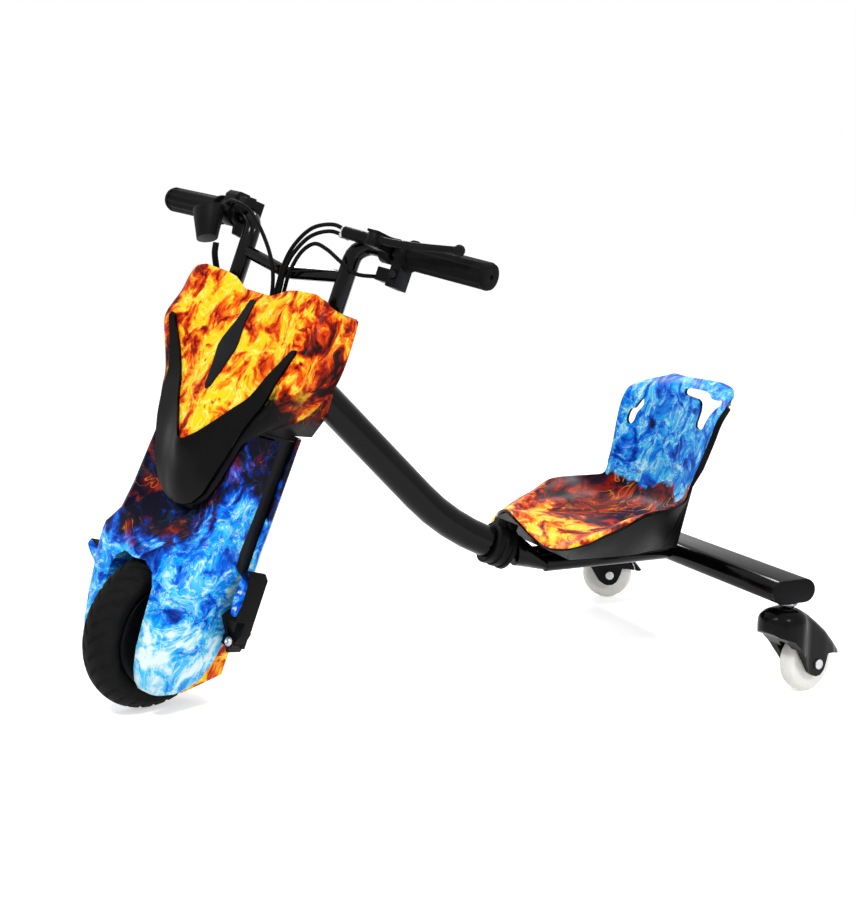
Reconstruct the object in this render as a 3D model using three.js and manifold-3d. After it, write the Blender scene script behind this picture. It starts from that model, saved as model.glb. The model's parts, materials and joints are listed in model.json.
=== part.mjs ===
// Electric drift trike for children: a motor wheel at the front, a bucket seat and two casters behind.
// Millimetres. +X is the rider's left, +Y runs to the rear, +Z is up.
// The steering, the casters and one footrest stand turned, as they were left after a ride.

import * as THREE from 'three';
import { mergeVertices } from 'three/addons/utils/BufferGeometryUtils.js';
import Module from 'manifold-3d';

const wasm = await Module();
wasm.setup();
const degree = Math.PI / 180;

// Overall layout
const wheelbase = 735;
const rake = 20 * degree;
const steerTurn = 27 * degree;
const clearance = 0.3;
const overrun = 2;
const sheetWall = 3;

// Front wheel
const tyreRadius = 100;
const tyreWidth = 50;
const beadRadius = 68;
const hubWidth = 46;
const hubBossRadius = 22;
const axleRadius = 6;
const axleNutRadius = 11;
const spacerRadius = 9;

// Fork and steering head
const legSpacing = 109;
const axleOverhang = 7.5;
const axleLength = legSpacing + 2 * axleOverhang;
const legRadius = 10;
const legBottom = 12;
const dropoutWidth = 8;
const dropoutRadius = 15;
const crownThickness = 12;
const crownReach = 18;
const lowerCrownHeight = 296;
const crownSpacing = 76;
const upperCrownHeight = lowerCrownHeight + crownSpacing;
const steererRadius = 11;
const steererNutRadius = 15;
const steererNutHeight = 6;
const headTubeRadius = 21;
const headTubeWall = 4;

// Handlebar
const barRadius = 11;
const braceRadius = 8;
const uprightSpacing = 179;
const uprightSetback = 30;
const uprightBottom = upperCrownHeight - crownThickness / 2;
const braceRise = 102;
const bendRise = 31;
const kneeRise = 13;
const braceHeight = upperCrownHeight + braceRise;
const uprightBendHeight = braceHeight + bendRise;
const barHeight = uprightBendHeight + kneeRise;
const barBendHalfSpan = 106;
const barSetback = 36;
const barEndSetback = 54;
const barHalfLength = 276;
const barKneeBend = 11;
const barElbowBend = 8;
const braceDip = 14;
const braceForward = 6;
const gripRadius = 16.5;
const gripInner = 168;
const gripFlangeRadius = 19;
const gripFlangeWidth = 4;
const gripLength = barHalfLength + gripFlangeWidth - gripInner;
const gripRibs = 12;
const gripRibDepth = 1.5;
const gripHoleRadius = 3;

// Brake lever and its perch
const perchWidth = 16;
const perchRadius = 16;
const perchPlace = 137;
const leverPivotForward = 39;
const leverPivotRise = 4;
const leverHubRadius = 9;
const leverHubHeight = 12;
const leverPinRadius = 3;
const leverReach = 116;
const leverRise = 11;
const leverWidth = 9;
const leverThickness = 7;
const leverBallRadius = 7;
const perchEar = 3;
const perchBarrelLength = 52;
const perchBarrelRadius = 7.5;

// Switches, throttle, horn
const switchPlace = 159;
const switchWidth = 14;
const switchDrop = 42;
const switchDepth = 26;
const switchSideWidth = 20;
const switchSideHeight = 16;
const buttonRadius = 5;
const buttonTravel = 2;
const throttlePlace = -141;
const throttleWidth = 20;
const throttleRadius = 18;
const displayHeight = 12;
const displayDepth = 26;
const thumbPlace = -126;
const thumbWidth = 9;
const thumbRadius = 15.5;
const thumbLength = 29;
const powerPlace = -112.5;
const powerWidth = 15;
const powerHeight = 26;
const powerDepth = 30;
const hornPlace = -158.5;
const hornForward = 35;
const hornShift = 11;
const hornRimRadius = 17;
const hornTipRadius = 11.5;
const hornWidthShare = 1.4;
const hornLength = 41;
const hornBandWidth = 7;
const hornDrop = 7;
const hornTilt = 24 * degree;

// Shroud over the front wheel
const cheekRise = 40;
const cheekDrop = 32;
const cheekTop = lowerCrownHeight + cheekRise;
const cheekBottom = lowerCrownHeight - cheekDrop;
const coverGap = 2;
const shroudTop = cheekBottom - coverGap;
const shroudBottom = -68;
const shroudRoom = 35.5;
const shroudHalfWidth = legSpacing / 2 + shroudRoom;
const shroudNose = 70;
const stripLap = 8;
const stripTop = cheekBottom + stripLap;
const stripBottom = 96;
const rearCoverDepth = 95;
const wheelWellRadius = 108;
const wheelWellHalfWidth = 40;
const tailHalfWidth = 39;
const tailWellRadius = 105;
const tailReach = 117;
const cheekOverhang = 4;
const cheekHalfWidth = shroudHalfWidth + cheekOverhang;
const cheekRear = 80;
const cheekFront = 8;
const shelfOpening = 36;
const coreInset = 7;

// Mask on the steering head
const maskHalfWidth = 132;
const maskHeight = 290;
const maskDepth = 106;
const maskCrownShare = 0.752;
const maskChin = upperCrownHeight - maskHeight * maskCrownShare;
const maskRear = 50;
const visorThickness = 4;
const dartThickness = 2.4;
const topCoverRise = 46;
const topCoverHeight = upperCrownHeight + topCoverRise;
const topCoverHalfWidth = 112;
const topCoverDepth = 44;
const topCoverPostRadius = 5;
const topCoverPostSpacing = 104;
const cableHoleRadius = 13;

// Battery and motor controller
const batteryWidth = 76;
const batteryDepth = 64;
const batteryHeadroom = 18.7;
const batteryBottom = wheelWellRadius + sheetWall + clearance;
const batteryHeight = cheekBottom - batteryHeadroom - batteryBottom;
const batteryFront = 6;
const controllerWidth = 68;
const controllerDepth = 44;
const controllerHeight = 21;

// Footrests
const footBracketThickness = 5;
const footBracketGap = 2;
const footBracketHeight = 76;
const footBracketFront = 20;
const footBracketRear = 79;
const footHingeReach = 8.5;
const footHingePlace = shroudHalfWidth + footHingeReach;
const footHingeHeight = 20;
const footHingeFront = 13;
const footPegWidth = 31;
const footPegLength = 88;
const footPegThickness = 13;
const footArmWidth = 15;
const footArmLength = 30;
const footPinRadius = 3;
const footEar = 3;
const footHubRadius = 6;
const footrestTurns = { left: 0, right: 60 * degree };

// Frame
const mainTubeRadius = 21;
const mainTubeWall = 2.5;
const mainTubeHeadRise = 42;
const mainTubeHeadHeight = lowerCrownHeight + mainTubeHeadRise;
const mainTubeNeck = [-535, 391];
const mainTubeElbow = [-348, 193];
const mainTubeEnd = [-262, 154.7];
const mainTubeNeckBend = 30;
const mainTubeElbowBend = 60;
const collarRadius = 26;
const collarLength = 30;
const collarRingHeight = 2;
const collarLugWidth = 14;
const collarLugHeight = 9;
const yokeLength = 34;
const yokeRadius = 21;
const yokeDrop = 2;
const railRadius = 11;
const railSpacing = 52;
const beamLength = 538;
const beamWidth = 62;
const beamThickness = 30;
const beamHeight = 135;
const railHeight = 137;
const beamWall = 2.5;
const capThickness = 3;
const capPlugLength = 10;
const bracketThickness = 3;
const bracketLength = 120;
const bracketWidth = 124;
const bracketRear = -60;

// Casters
const casterSpacing = 517.4;
const casterRadius = 38;
const casterWidth = 26;
const casterTrail = 36;
const casterBore = 4.3;
const casterHeadRadius = 6.5;
const casterHeadWidth = 3;
const socketRadius = 13;
const socketHeight = 5;
const stemRadius = 5;
const stemLength = 24;
const casterForkTop = 114;
const casterForkHeight = 92;
const casterForkLength = 128;
const casterForkFront = 40;
const casterForkHalfWidth = 21;
const casterDomeRadius = 28;
const casterWellRadius = 42;
const casterWellHalfWidth = 16;
const casterTurns = { left: 12 * degree, right: -20 * degree };

// Seat
const seatHalfWidth = 132;
const seatDepth = 293;
const seatHeight = 197;
const seatFront = -262;
const seatLow = 174;
const seatWall = 4;
const seatBaseBottom = railHeight + railRadius + bracketThickness + 2 * clearance;
const seatBaseHalfWidth = 84;
const seatBaseFront = -209;
const seatBaseRear = -42;
const seatBaseWall = 4;
const seatPocketDepth = 16;

const sides = [
  ['left', 1],
  ['right', -1],
];

// Colours, roughness and metalness of the finishes
const finishes = {
  glossBlack: [0x101012, 0.18, 0.3],
  satinBlack: [0x1c1c1e, 0.5, 0],
  rubber: [0x19191a, 0.85, 0],
  darkGrey: [0x3a3b3d, 0.45, 0],
  steel: [0xb9babd, 0.3, 0.9],
  flame: [0xf08a1e, 0.25, 0],
  ice: [0x2aa5ea, 0.25, 0],
  wheelWhite: [0xe9e7df, 0.4, 0],
  motorBlack: [0x222225, 0.4, 0.6],
  battery: [0x2b4d7c, 0.5, 0],
};

// Geometry helpers. Each returns one closed geometry.

const unitX = new THREE.Vector3(1, 0, 0);
const unitY = new THREE.Vector3(0, 1, 0);
const unitZ = new THREE.Vector3(0, 0, 1);

// Turns shapes drawn in a plane, or profiles turned about a line, to the named axis.
const extrudeFrames = {
  x: new THREE.Matrix4().makeBasis(unitY, unitZ, unitX),
  y: new THREE.Matrix4().makeBasis(unitZ, unitX, unitY),
  z: new THREE.Matrix4(),
};
const turnFrames = {
  x: new THREE.Matrix4().makeBasis(unitZ, unitX, unitY),
  y: new THREE.Matrix4(),
  z: new THREE.Matrix4().makeBasis(unitY, unitZ, unitX),
};

// Joins equal corners and leaves out triangles without area.
function welded(geometry) {
  geometry.deleteAttribute('normal');
  geometry.deleteAttribute('uv');
  const merged = mergeVertices(geometry);
  const corners = merged.index.array;
  const kept = [];
  for (let i = 0; i < corners.length; i += 3) {
    const [a, b, c] = [corners[i], corners[i + 1], corners[i + 2]];
    if (a !== b && b !== c && c !== a) kept.push(a, b, c);
  }
  merged.setIndex(kept);
  return merged;
}

function volumeOf(geometry) {
  const place = geometry.attributes.position;
  const corners = geometry.index.array;
  const [a, b, c] = [new THREE.Vector3(), new THREE.Vector3(), new THREE.Vector3()];
  let volume = 0;
  for (let i = 0; i < corners.length; i += 3) {
    a.fromBufferAttribute(place, corners[i]);
    b.fromBufferAttribute(place, corners[i + 1]);
    c.fromBufferAttribute(place, corners[i + 2]);
    volume += a.dot(b.cross(c)) / 6;
  }
  return volume;
}

// Turns the faces of a closed geometry outwards.
function outward(geometry) {
  const closed = welded(geometry);
  if (volumeOf(closed) < 0) closed.setIndex(Array.from(closed.index.array).reverse());
  return closed;
}

function ring(radius, count) {
  return Array.from({ length: count }, (_, i) => {
    const angle = (2 * Math.PI * i) / count;
    return [radius * Math.cos(angle), radius * Math.sin(angle)];
  });
}

function obround(halfWidth, halfHeight, count) {
  const shift = halfWidth - halfHeight;
  return Array.from({ length: 2 * count + 2 }, (_, i) => {
    const end = i <= count ? 1 : -1;
    const step = i <= count ? i : i - count - 1;
    const angle = (Math.PI * step) / count - (Math.PI / 2) * end;
    return [end * shift + halfHeight * Math.cos(angle), halfHeight * Math.sin(angle)];
  });
}

function shapeOf(outline, holes = []) {
  const shape = new THREE.Shape(outline.map(([a, b]) => new THREE.Vector2(a, b)));
  for (const hole of holes) {
    shape.holes.push(new THREE.Path(hole.map(([a, b]) => new THREE.Vector2(a, b))));
  }
  return shape;
}

// The outline holds (y, z) pairs for axis x, (x, z) pairs for axis y and (x, y) pairs for axis z.
function prism(outline, axis, from, to, holes = []) {
  const order = ([a, b]) => (axis === 'y' ? [b, a] : [a, b]);
  const shape = shapeOf(outline.map(order), holes.map((hole) => hole.map(order)));
  const geometry = new THREE.ExtrudeGeometry(shape, { depth: to - from, bevelEnabled: false });
  geometry.translate(0, 0, from);
  return geometry.applyMatrix4(extrudeFrames[axis]);
}

function block(x, y, z) {
  const geometry = new THREE.BoxGeometry(x[1] - x[0], y[1] - y[0], z[1] - z[0]);
  return geometry.translate((x[0] + x[1]) / 2, (y[0] + y[1]) / 2, (z[0] + z[1]) / 2);
}

// The profile holds (radius, place along the axis) pairs.
function turned(profile, axis, count) {
  const points = profile.map(([radius, along]) => new THREE.Vector2(radius, along));
  return outward(new THREE.LatheGeometry(points, count).applyMatrix4(turnFrames[axis]));
}

function rod(radius, from, to, count = 16) {
  const start = new THREE.Vector3(...from);
  const end = new THREE.Vector3(...to);
  const along = end.clone().sub(start);
  const geometry = new THREE.CylinderGeometry(radius, radius, along.length(), count);
  geometry.applyQuaternion(new THREE.Quaternion().setFromUnitVectors(unitY, along.normalize()));
  const middle = start.add(end).multiplyScalar(0.5);
  return geometry.translate(middle.x, middle.y, middle.z);
}

// A path of straight steps between stations, for sweeping an outline from station to station.
class Route extends THREE.Curve {
  constructor(stations) {
    super();
    this.stations = stations;
    this.last = stations.length - 1;
  }

  getPointAt(share) {
    return this.stations[Math.round(share * this.last)].clone();
  }

  getTangentAt(share) {
    const at = Math.round(share * this.last);
    const here = this.stations[at];
    const before = here.clone().sub(this.stations[Math.max(at - 1, 0)]).normalize();
    const after = this.stations[Math.min(at + 1, this.last)].clone().sub(here).normalize();
    return before.add(after).normalize();
  }
}

function sweep(stations, outline, holes = []) {
  const options = { steps: stations.length - 1, extrudePath: new Route(stations), bevelEnabled: false };
  return outward(new THREE.ExtrudeGeometry(shapeOf(outline, holes), options));
}

// Stations along straight runs with a rounded bend of the given length at each inner point.
function bentStations(points, bends, steps) {
  const corners = points.map((point) => new THREE.Vector3(...point));
  const stations = [corners[0]];
  bends.forEach((bend, i) => {
    const corner = corners[i + 1];
    const before = corner.clone().add(corners[i].clone().sub(corner).setLength(bend));
    const after = corner.clone().add(corners[i + 2].clone().sub(corner).setLength(bend));
    stations.push(...new THREE.QuadraticBezierCurve3(before, corner, after).getPoints(steps));
  });
  stations.push(corners[corners.length - 1]);
  return stations;
}

function smoothStations(points, steps) {
  const corners = points.map((point) => new THREE.Vector3(...point));
  return new THREE.CatmullRomCurve3(corners).getSpacedPoints(steps);
}

function fromTriangles(points, triangles) {
  const geometry = new THREE.BufferGeometry();
  geometry.setAttribute('position', new THREE.Float32BufferAttribute(points.flat(), 3));
  geometry.setIndex(triangles.flat());
  return outward(geometry);
}

// A thin solid between two grids of points with the same rows and columns.
function sheet(front, back) {
  const rows = front.length;
  const columns = front[0].length;
  const points = [...front.flat(), ...back.flat()].map((point) => point.toArray());
  const at = (side, row, column) => (side * rows + row) * columns + column;
  const triangles = [];
  const quad = (a, b, c, d) => triangles.push([a, b, c], [a, c, d]);
  for (let i = 0; i < rows - 1; i += 1) {
    for (let j = 0; j < columns - 1; j += 1) {
      quad(at(0, i, j), at(0, i, j + 1), at(0, i + 1, j + 1), at(0, i + 1, j));
      quad(at(1, i, j), at(1, i + 1, j), at(1, i + 1, j + 1), at(1, i, j + 1));
    }
  }
  for (let j = 0; j < columns - 1; j += 1) {
    const last = rows - 1;
    quad(at(0, 0, j), at(1, 0, j), at(1, 0, j + 1), at(0, 0, j + 1));
    quad(at(0, last, j), at(0, last, j + 1), at(1, last, j + 1), at(1, last, j));
  }
  for (let i = 0; i < rows - 1; i += 1) {
    const last = columns - 1;
    quad(at(0, i, 0), at(0, i + 1, 0), at(1, i + 1, 0), at(1, i, 0));
    quad(at(0, i, last), at(1, i, last), at(1, i + 1, last), at(0, i + 1, last));
  }
  return fromTriangles(points, triangles);
}

// A solid through closed rings of (x, y) points, each at its own height.
function loft(outlines, heights) {
  const turn = THREE.ShapeUtils.isClockWise(outlines[0].map(([x, y]) => new THREE.Vector2(x, y)));
  const rings = outlines.map((outline) => (turn ? outline.slice().reverse() : outline));
  const count = rings[0].length;
  const points = rings.flatMap((outline, level) => outline.map(([x, y]) => [x, y, heights[level]]));
  const triangles = [];
  for (let level = 0; level < rings.length - 1; level += 1) {
    for (let i = 0; i < count; i += 1) {
      const next = (i + 1) % count;
      const low = level * count;
      const high = low + count;
      triangles.push([low + i, low + next, high + next], [low + i, high + next, high + i]);
    }
  }
  for (const level of [0, rings.length - 1]) {
    const outline = rings[level].map(([x, y]) => new THREE.Vector2(x, y));
    for (const [a, b, c] of THREE.ShapeUtils.triangulateShape(outline, [])) {
      const base = level * count;
      triangles.push(level ? [base + a, base + b, base + c] : [base + a, base + c, base + b]);
    }
  }
  return fromTriangles(points, triangles);
}

function solidOf(geometry) {
  const closed = outward(geometry);
  const vertProperties = Float32Array.from(closed.attributes.position.array);
  const triVerts = Uint32Array.from(closed.index.array);
  return new wasm.Manifold(new wasm.Mesh({ numProp: 3, vertProperties, triVerts }));
}

function geometryOf(solid) {
  const mesh = solid.getMesh();
  const geometry = new THREE.BufferGeometry();
  geometry.setAttribute('position', new THREE.BufferAttribute(mesh.vertProperties.slice(), 3));
  geometry.setIndex(new THREE.BufferAttribute(mesh.triVerts.slice(), 1));
  return geometry;
}

function joined(...geometries) {
  return geometryOf(geometries.map(solidOf).reduce((whole, solid) => whole.add(solid)));
}

function cut(geometry, ...tools) {
  return geometryOf(tools.map(solidOf).reduce((rest, tool) => rest.subtract(tool), solidOf(geometry)));
}

function common(geometry, other) {
  return geometryOf(solidOf(geometry).intersect(solidOf(other)));
}

function mirrored(geometry, side) {
  return side > 0 ? geometry : outward(geometry.applyMatrix4(new THREE.Matrix4().makeScale(-1, 1, 1)));
}

function piece(name, geometry, finish) {
  const [color, roughness, metalness] = finishes[finish];
  const flat = outward(geometry).toNonIndexed();
  flat.computeVertexNormals();
  const mesh = new THREE.Mesh(flat, new THREE.MeshStandardMaterial({ color, roughness, metalness }));
  mesh.name = name;
  return mesh;
}

// Reads a value between the rows of a table by straight lines.
function between(table, at, column) {
  const next = table.findIndex((row) => row[0] >= at);
  if (next <= 0) return table[next < 0 ? table.length - 1 : 0][column];
  const [low, high] = [table[next - 1], table[next]];
  const part = (at - low[0]) / (high[0] - low[0]);
  return low[column] + part * (high[column] - low[column]);
}

// Smooths rows of points into more rows, each column along its own curve.
function smoothRows(rows, splits) {
  const curveAt = (j) => new THREE.CatmullRomCurve3(rows.map((row) => row[j]), false, 'centripetal');
  const columns = rows[0].map((_, j) => curveAt(j));
  const count = (rows.length - 1) * splits;
  return Array.from({ length: count + 1 }, (_, i) => columns.map((curve) => curve.getPoint(i / count)));
}

function mirrorRow(half) {
  const other = half.slice(1).reverse().map((point) => new THREE.Vector3(-point.x, point.y, point.z));
  return [...other, ...half];
}

// Moves every point of a grid along the surface's own normal.
function offsetGrid(grid, distance) {
  const rows = grid.length;
  const columns = grid[0].length;
  return grid.map((row, i) => row.map((point, j) => {
    const up = grid[Math.min(i + 1, rows - 1)][j].clone().sub(grid[Math.max(i - 1, 0)][j]);
    const across = row[Math.min(j + 1, columns - 1)].clone().sub(row[Math.max(j - 1, 0)]);
    const normal = across.cross(up).normalize();
    return point.clone().addScaledVector(normal, distance);
  }));
}

// Front wheel, turning about the axle along X.

function frontTyre() {
  const profileShares = [
    [0, -0.38], [0.25, -0.47], [0.5, -0.49], [0.72, -0.41], [0.9, -0.26], [1, -0.07],
    [1, 0.07], [0.9, 0.26], [0.72, 0.41], [0.5, 0.49], [0.25, 0.47], [0, 0.38], [0, -0.38],
  ];
  const height = tyreRadius - beadRadius;
  const crown = profileShares.map(([up, across]) => [beadRadius + height * up, across * tyreWidth]);
  return piece('front_tyre', turned(crown, 'x', 40), 'rubber');
}

function hubMotor() {
  const rim = beadRadius - clearance;
  const half = hubWidth / 2;
  const boss = half + sheetWall;
  const bore = axleRadius + clearance;
  const dish = half - sheetWall;
  const profile = [
    [bore, -boss], [hubBossRadius, -boss], [hubBossRadius + sheetWall, -dish], [rim * 0.78, -dish],
    [rim * 0.86, -half], [rim, -half], [rim, half], [rim * 0.86, half], [rim * 0.78, dish],
    [hubBossRadius + sheetWall, dish], [hubBossRadius, boss], [bore, boss], [bore, -boss],
  ];
  return piece('hub_motor', turned(profile, 'x', 28), 'motorBlack');
}

function frontAxle() {
  const dropout = legSpacing / 2 + dropoutWidth / 2 + clearance;
  const inner = legSpacing / 2 - dropoutWidth / 2 - clearance;
  const hubFace = hubWidth / 2 + sheetWall + clearance;
  const half = axleLength / 2;
  const parts = [rod(axleRadius, [-half, 0, 0], [half, 0, 0])];
  for (const [, side] of sides) {
    const from = side > 0 ? [dropout, half - clearance] : [clearance - half, -dropout];
    parts.push(prism(ring(axleNutRadius, 6), 'x', ...from));
    parts.push(rod(spacerRadius, [side * hubFace, 0, 0], [side * inner, 0, 0]));
  }
  return piece('front_axle', joined(...parts), 'steel');
}

// Fork, crowns, head and battery.

function forkLeg(name, side) {
  const place = (side * legSpacing) / 2;
  const top = lowerCrownHeight - clearance;
  const half = dropoutWidth / 2;
  const plateTop = legBottom + dropoutRadius;
  const tube = rod(legRadius, [place, 0, legBottom], [place, 0, top]);
  const tongue = block([place - half, place + half], [-legRadius, legRadius], [0, plateTop]);
  const eye = prism(ring(dropoutRadius, 24), 'x', place - half, place + half);
  const hole = rod(axleRadius + clearance, [place - legRadius, 0, 0], [place + legRadius, 0, 0]);
  return piece(`fork_leg_${name}`, cut(joined(tube, tongue, eye), hole), 'glossBlack');
}

function lowerCrown() {
  const reach = legSpacing / 2 + legRadius + sheetWall;
  const outline = obround(reach, crownReach, 8);
  const plate = prism(outline, 'z', lowerCrownHeight, lowerCrownHeight + crownThickness, [
    ring(steererRadius + clearance, 20),
  ]);
  return piece('lower_crown', plate, 'glossBlack');
}

function upperCrown() {
  const arm = uprightSpacing / 2;
  const lug = barRadius + 2 * sheetWall;
  const outline = [
    [-crownReach, -crownReach * 0.6], [0, -crownReach], [crownReach, -crownReach * 0.6],
    [arm, uprightSetback - lug], [arm + lug, uprightSetback], [arm, uprightSetback + lug],
    [crownReach, crownReach * 1.2], [-crownReach, crownReach * 1.2],
    [-arm, uprightSetback + lug], [-arm - lug, uprightSetback], [-arm, uprightSetback - lug],
  ];
  const holes = [ring(steererRadius + clearance, 20)];
  for (const [, side] of sides) {
    holes.push(ring(barRadius + clearance, 20).map(([x, y]) => [x + side * arm, y + uprightSetback]));
  }
  const plate = prism(outline, 'z', upperCrownHeight, upperCrownHeight + crownThickness, holes);
  return piece('upper_crown', plate, 'glossBlack');
}

function steerer() {
  const bottom = lowerCrownHeight - clearance;
  const top = upperCrownHeight + crownThickness + clearance;
  const profile = [
    [0, bottom - steererNutHeight], [steererNutRadius, bottom - steererNutHeight], [steererNutRadius, bottom],
    [steererRadius, bottom], [steererRadius, top], [steererNutRadius, top],
    [steererNutRadius, top + steererNutHeight], [0, top + steererNutHeight],
  ];
  return piece('steerer', turned(profile, 'z', 20), 'steel');
}

function batteryPack() {
  const half = batteryWidth / 2;
  const edge = 2 * sheetWall;
  const rear = batteryDepth - batteryFront;
  const outline = [
    [-half, -batteryFront + edge], [-half + edge, -batteryFront], [half - edge, -batteryFront],
    [half, -batteryFront + edge], [half, rear - edge], [half - edge, rear], [-half + edge, rear],
    [-half, rear - edge],
  ];
  const pack = prism(outline, 'z', batteryBottom, batteryBottom + batteryHeight);
  return piece('battery_pack', pack, 'battery');
}

function controller() {
  const half = controllerWidth / 2;
  const bottom = cheekBottom + sheetWall + clearance;
  const box = block([-half, half], [0, controllerDepth], [bottom, bottom + controllerHeight]);
  return piece('controller', box, 'darkGrey');
}

// Shroud. Each row holds the height share between bottom and top, then the half width share, then the
// centre, corner and rear edge of the front cover as shares of the nose.
const shroudRowShares = [
  [0, 0.57, 0.29, 0.29, 0.1],
  [0.012, 0.6, 0.49, 0.49, -0.17],
  [0.039, 0.635, 0.63, 0.63, -0.37],
  [0.085, 0.68, 0.74, 0.74, -0.56],
  [0.161, 0.735, 0.83, 0.84, -0.66],
  [0.259, 0.8, 0.89, 0.87, -0.67],
  [0.373, 0.89, 0.94, 0.86, -0.65],
  [0.455, 0.955, 1, 0.84, -0.55],
  [0.491, 0.985, 0.94, 0.82, -0.4],
  [0.521, 1, 0.83, 0.79, -0.15],
  [0.539, 0.97, 0.74, 0.75, -0.14],
  [0.585, 0.945, 0.52, 0.61, -0.15],
  [0.682, 0.935, 0.2, 0.53, -0.2],
  [0.812, 0.925, 0.18, 0.48, -0.26],
  [0.918, 0.91, 0.18, 0.44, -0.3],
  [1, 0.895, 0.19, 0.42, -0.33],
];
const shroudSpan = shroudTop - shroudBottom;
const heightShareOf = (height) => (height - shroudBottom) / shroudSpan;
const shroudWidthAt = (height) => shroudHalfWidth * between(shroudRowShares, heightShareOf(height), 1);
const shroudRearAt = (height) => -shroudNose * between(shroudRowShares, heightShareOf(height), 4);

// Front half of one level, from the rear edge round the nose to the other rear edge.
function shroudRing(row, wall, rearGrowth) {
  const half = shroudHalfWidth * row[1] - wall;
  const centre = shroudNose * row[2] - wall;
  const corner = shroudNose * row[3] - wall;
  const rear = -shroudNose * row[4] + rearGrowth;
  const bendShare = 0.12;
  const flank = -corner + half * bendShare * 1.4;
  const side = [
    [half, Math.max(rear, flank + wall)], [half, flank],
    [half * (1 - bendShare / 3), -corner + half * bendShare / 3],
    [half * (1 - bendShare), -corner], [half * 0.5, -(0.65 * centre + 0.35 * corner)],
  ];
  const other = side.slice().reverse().map(([x, y]) => [-x, y]);
  return [...side, [0, -centre], ...other];
}

function wheelWell(radius, halfWidth) {
  const profileShares = [
    [0, -1], [0.8, -1], [0.92, -0.85], [1, -0.5],
    [1, 0.5], [0.92, 0.85], [0.8, 1], [0, 1],
  ];
  const profile = profileShares.map(([up, across]) => [radius * up, halfWidth * across]);
  return turned(profile, 'x', 48);
}

function frontShroud() {
  const heights = shroudRowShares.map((row) => shroudBottom + shroudSpan * row[0]);
  const outer = loft(shroudRowShares.map((row) => shroudRing(row, 0, 0)), heights);
  const closedBelow = stripBottom - sheetWall;
  const innerRows = shroudRowShares.slice(1);
  const rears = innerRows.map((row, i) => (heights[i + 1] < closedBelow ? -sheetWall : overrun));
  const innerRings = innerRows.map((row, i) => shroudRing(row, sheetWall, rears[i]));
  const innerHeights = heights.slice(1).map((height, i) => height + (i ? 0 : sheetWall / 2));
  innerHeights[innerHeights.length - 1] += overrun;
  const hollow = cut(
    loft(innerRings, innerHeights),
    wheelWell(wheelWellRadius + sheetWall, wheelWellHalfWidth + sheetWall),
  );
  const well = wheelWell(wheelWellRadius, wheelWellHalfWidth);
  const passage = wheelWellHalfWidth + 2 * sheetWall;
  const axleHole = rod(axleNutRadius, [-passage, 0, 0], [passage, 0, 0]);
  return piece('front_shroud', cut(outer, hollow, well, axleHole, maskRoom()), 'ice');
}

// Rear cover: rows of height share, half width at the rear, depth share and place of the front edge.
const rearCoverRowShares = [
  [0.466, 0.6, 0.84, 0.36],
  [0.62, 0.6, 0.875, 0.39],
  [0.81, 0.6, 0.92, 0.44],
  [1.04, 0.6, 0.97, 0.51],
];

function rearCoverRing(height, wall) {
  const share = heightShareOf(height);
  const half = shroudWidthAt(height) - wall;
  const depth = rearCoverDepth * between(rearCoverRowShares, share, 2) - wall;
  const tail = half * between(rearCoverRowShares, share, 1);
  const front = rearCoverFront(height) - (wall ? overrun : 0);
  const shoulder = front + (depth - front) * 0.2;
  const side = [
    [half, front], [half * 0.985, shoulder], [(half + tail) / 2, depth * 0.79], [tail, depth * 0.96],
    [tail / 2, depth],
  ];
  return [...side, ...side.slice().reverse().map(([x, y]) => [-x, y])];
}

function rearCoverFront(height) {
  return rearCoverDepth * between(rearCoverRowShares, heightShareOf(height), 3);
}

function rearCover() {
  const bottom = stripBottom - 3 * sheetWall;
  const levels = [0, 0.25, 0.5, 0.75, 1].map((share) => bottom + share * (stripTop - bottom));
  const outer = loft(levels.map((height) => rearCoverRing(height, 0)), levels);
  const open = levels.slice();
  open[0] += sheetWall;
  open[open.length - 1] += overrun;
  const inner = loft(levels.map((height) => rearCoverRing(height, sheetWall)), open);
  const well = wheelWell(wheelWellRadius, wheelWellHalfWidth);
  const roof = wheelWell(wheelWellRadius + sheetWall, wheelWellHalfWidth + sheetWall);
  return piece('rear_cover', cut(outer, cut(inner, roof), well), 'ice');
}

function tailCover() {
  const sideShares = [
    [0.45, 0.62], [0.62, 0.58], [0.8, 0.3], [0.82, 0], [0.82, -0.33], [0.33, -0.57], [0.28, -0.43],
    [0.45, -0.1], [0.5, 0.4],
  ];
  const outline = sideShares.map(([back, up]) => [tailReach * back, tailReach * up]);
  const half = tailHalfWidth;
  const roundProfile = (radius, reach) => {
    const roundShares = [[0.82, 1], [0.91, 0.87], [0.97, 0.62], [1, 0.26]];
    const rise = roundShares.map(([up, across]) => [radius * up, reach * across]);
    const fall = rise.slice().reverse().map(([up, across]) => [up, -across]);
    return [[0, reach], ...rise, ...fall, [0, -reach]];
  };
  const fender = turned(roundProfile(tailWellRadius + sheetWall, half), 'x', 40);
  const window = block([-half, half], [tailReach * 0.5, tailReach], [-tailReach * 0.33, tailReach * 0.5]);
  const solid = joined(prism(outline, 'x', -half, half), common(fender, window));
  const well = turned(roundProfile(tailWellRadius, half - sheetWall), 'x', 40);
  return piece('tail_cover', cut(solid, well), 'flame');
}

// Black core that the covers close on: side strips, a shelf and the cheeks under the mask.
function coreStrip(side) {
  const span = cheekBottom + sheetWall - stripBottom;
  const levels = [0, 0.33, 0.67, 1].map((share) => stripBottom + share * span);
  const rings = levels.map((height) => {
    const outerFace = shroudWidthAt(height) - coreInset;
    const innerFace = outerFace - sheetWall;
    const front = shroudRearAt(height) - 2 * sheetWall;
    const back = rearCoverFront(height) + 2 * sheetWall;
    return [[outerFace, front], [outerFace, back], [innerFace, back], [innerFace, front]];
  });
  return mirrored(loft(rings, levels), side);
}

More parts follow.
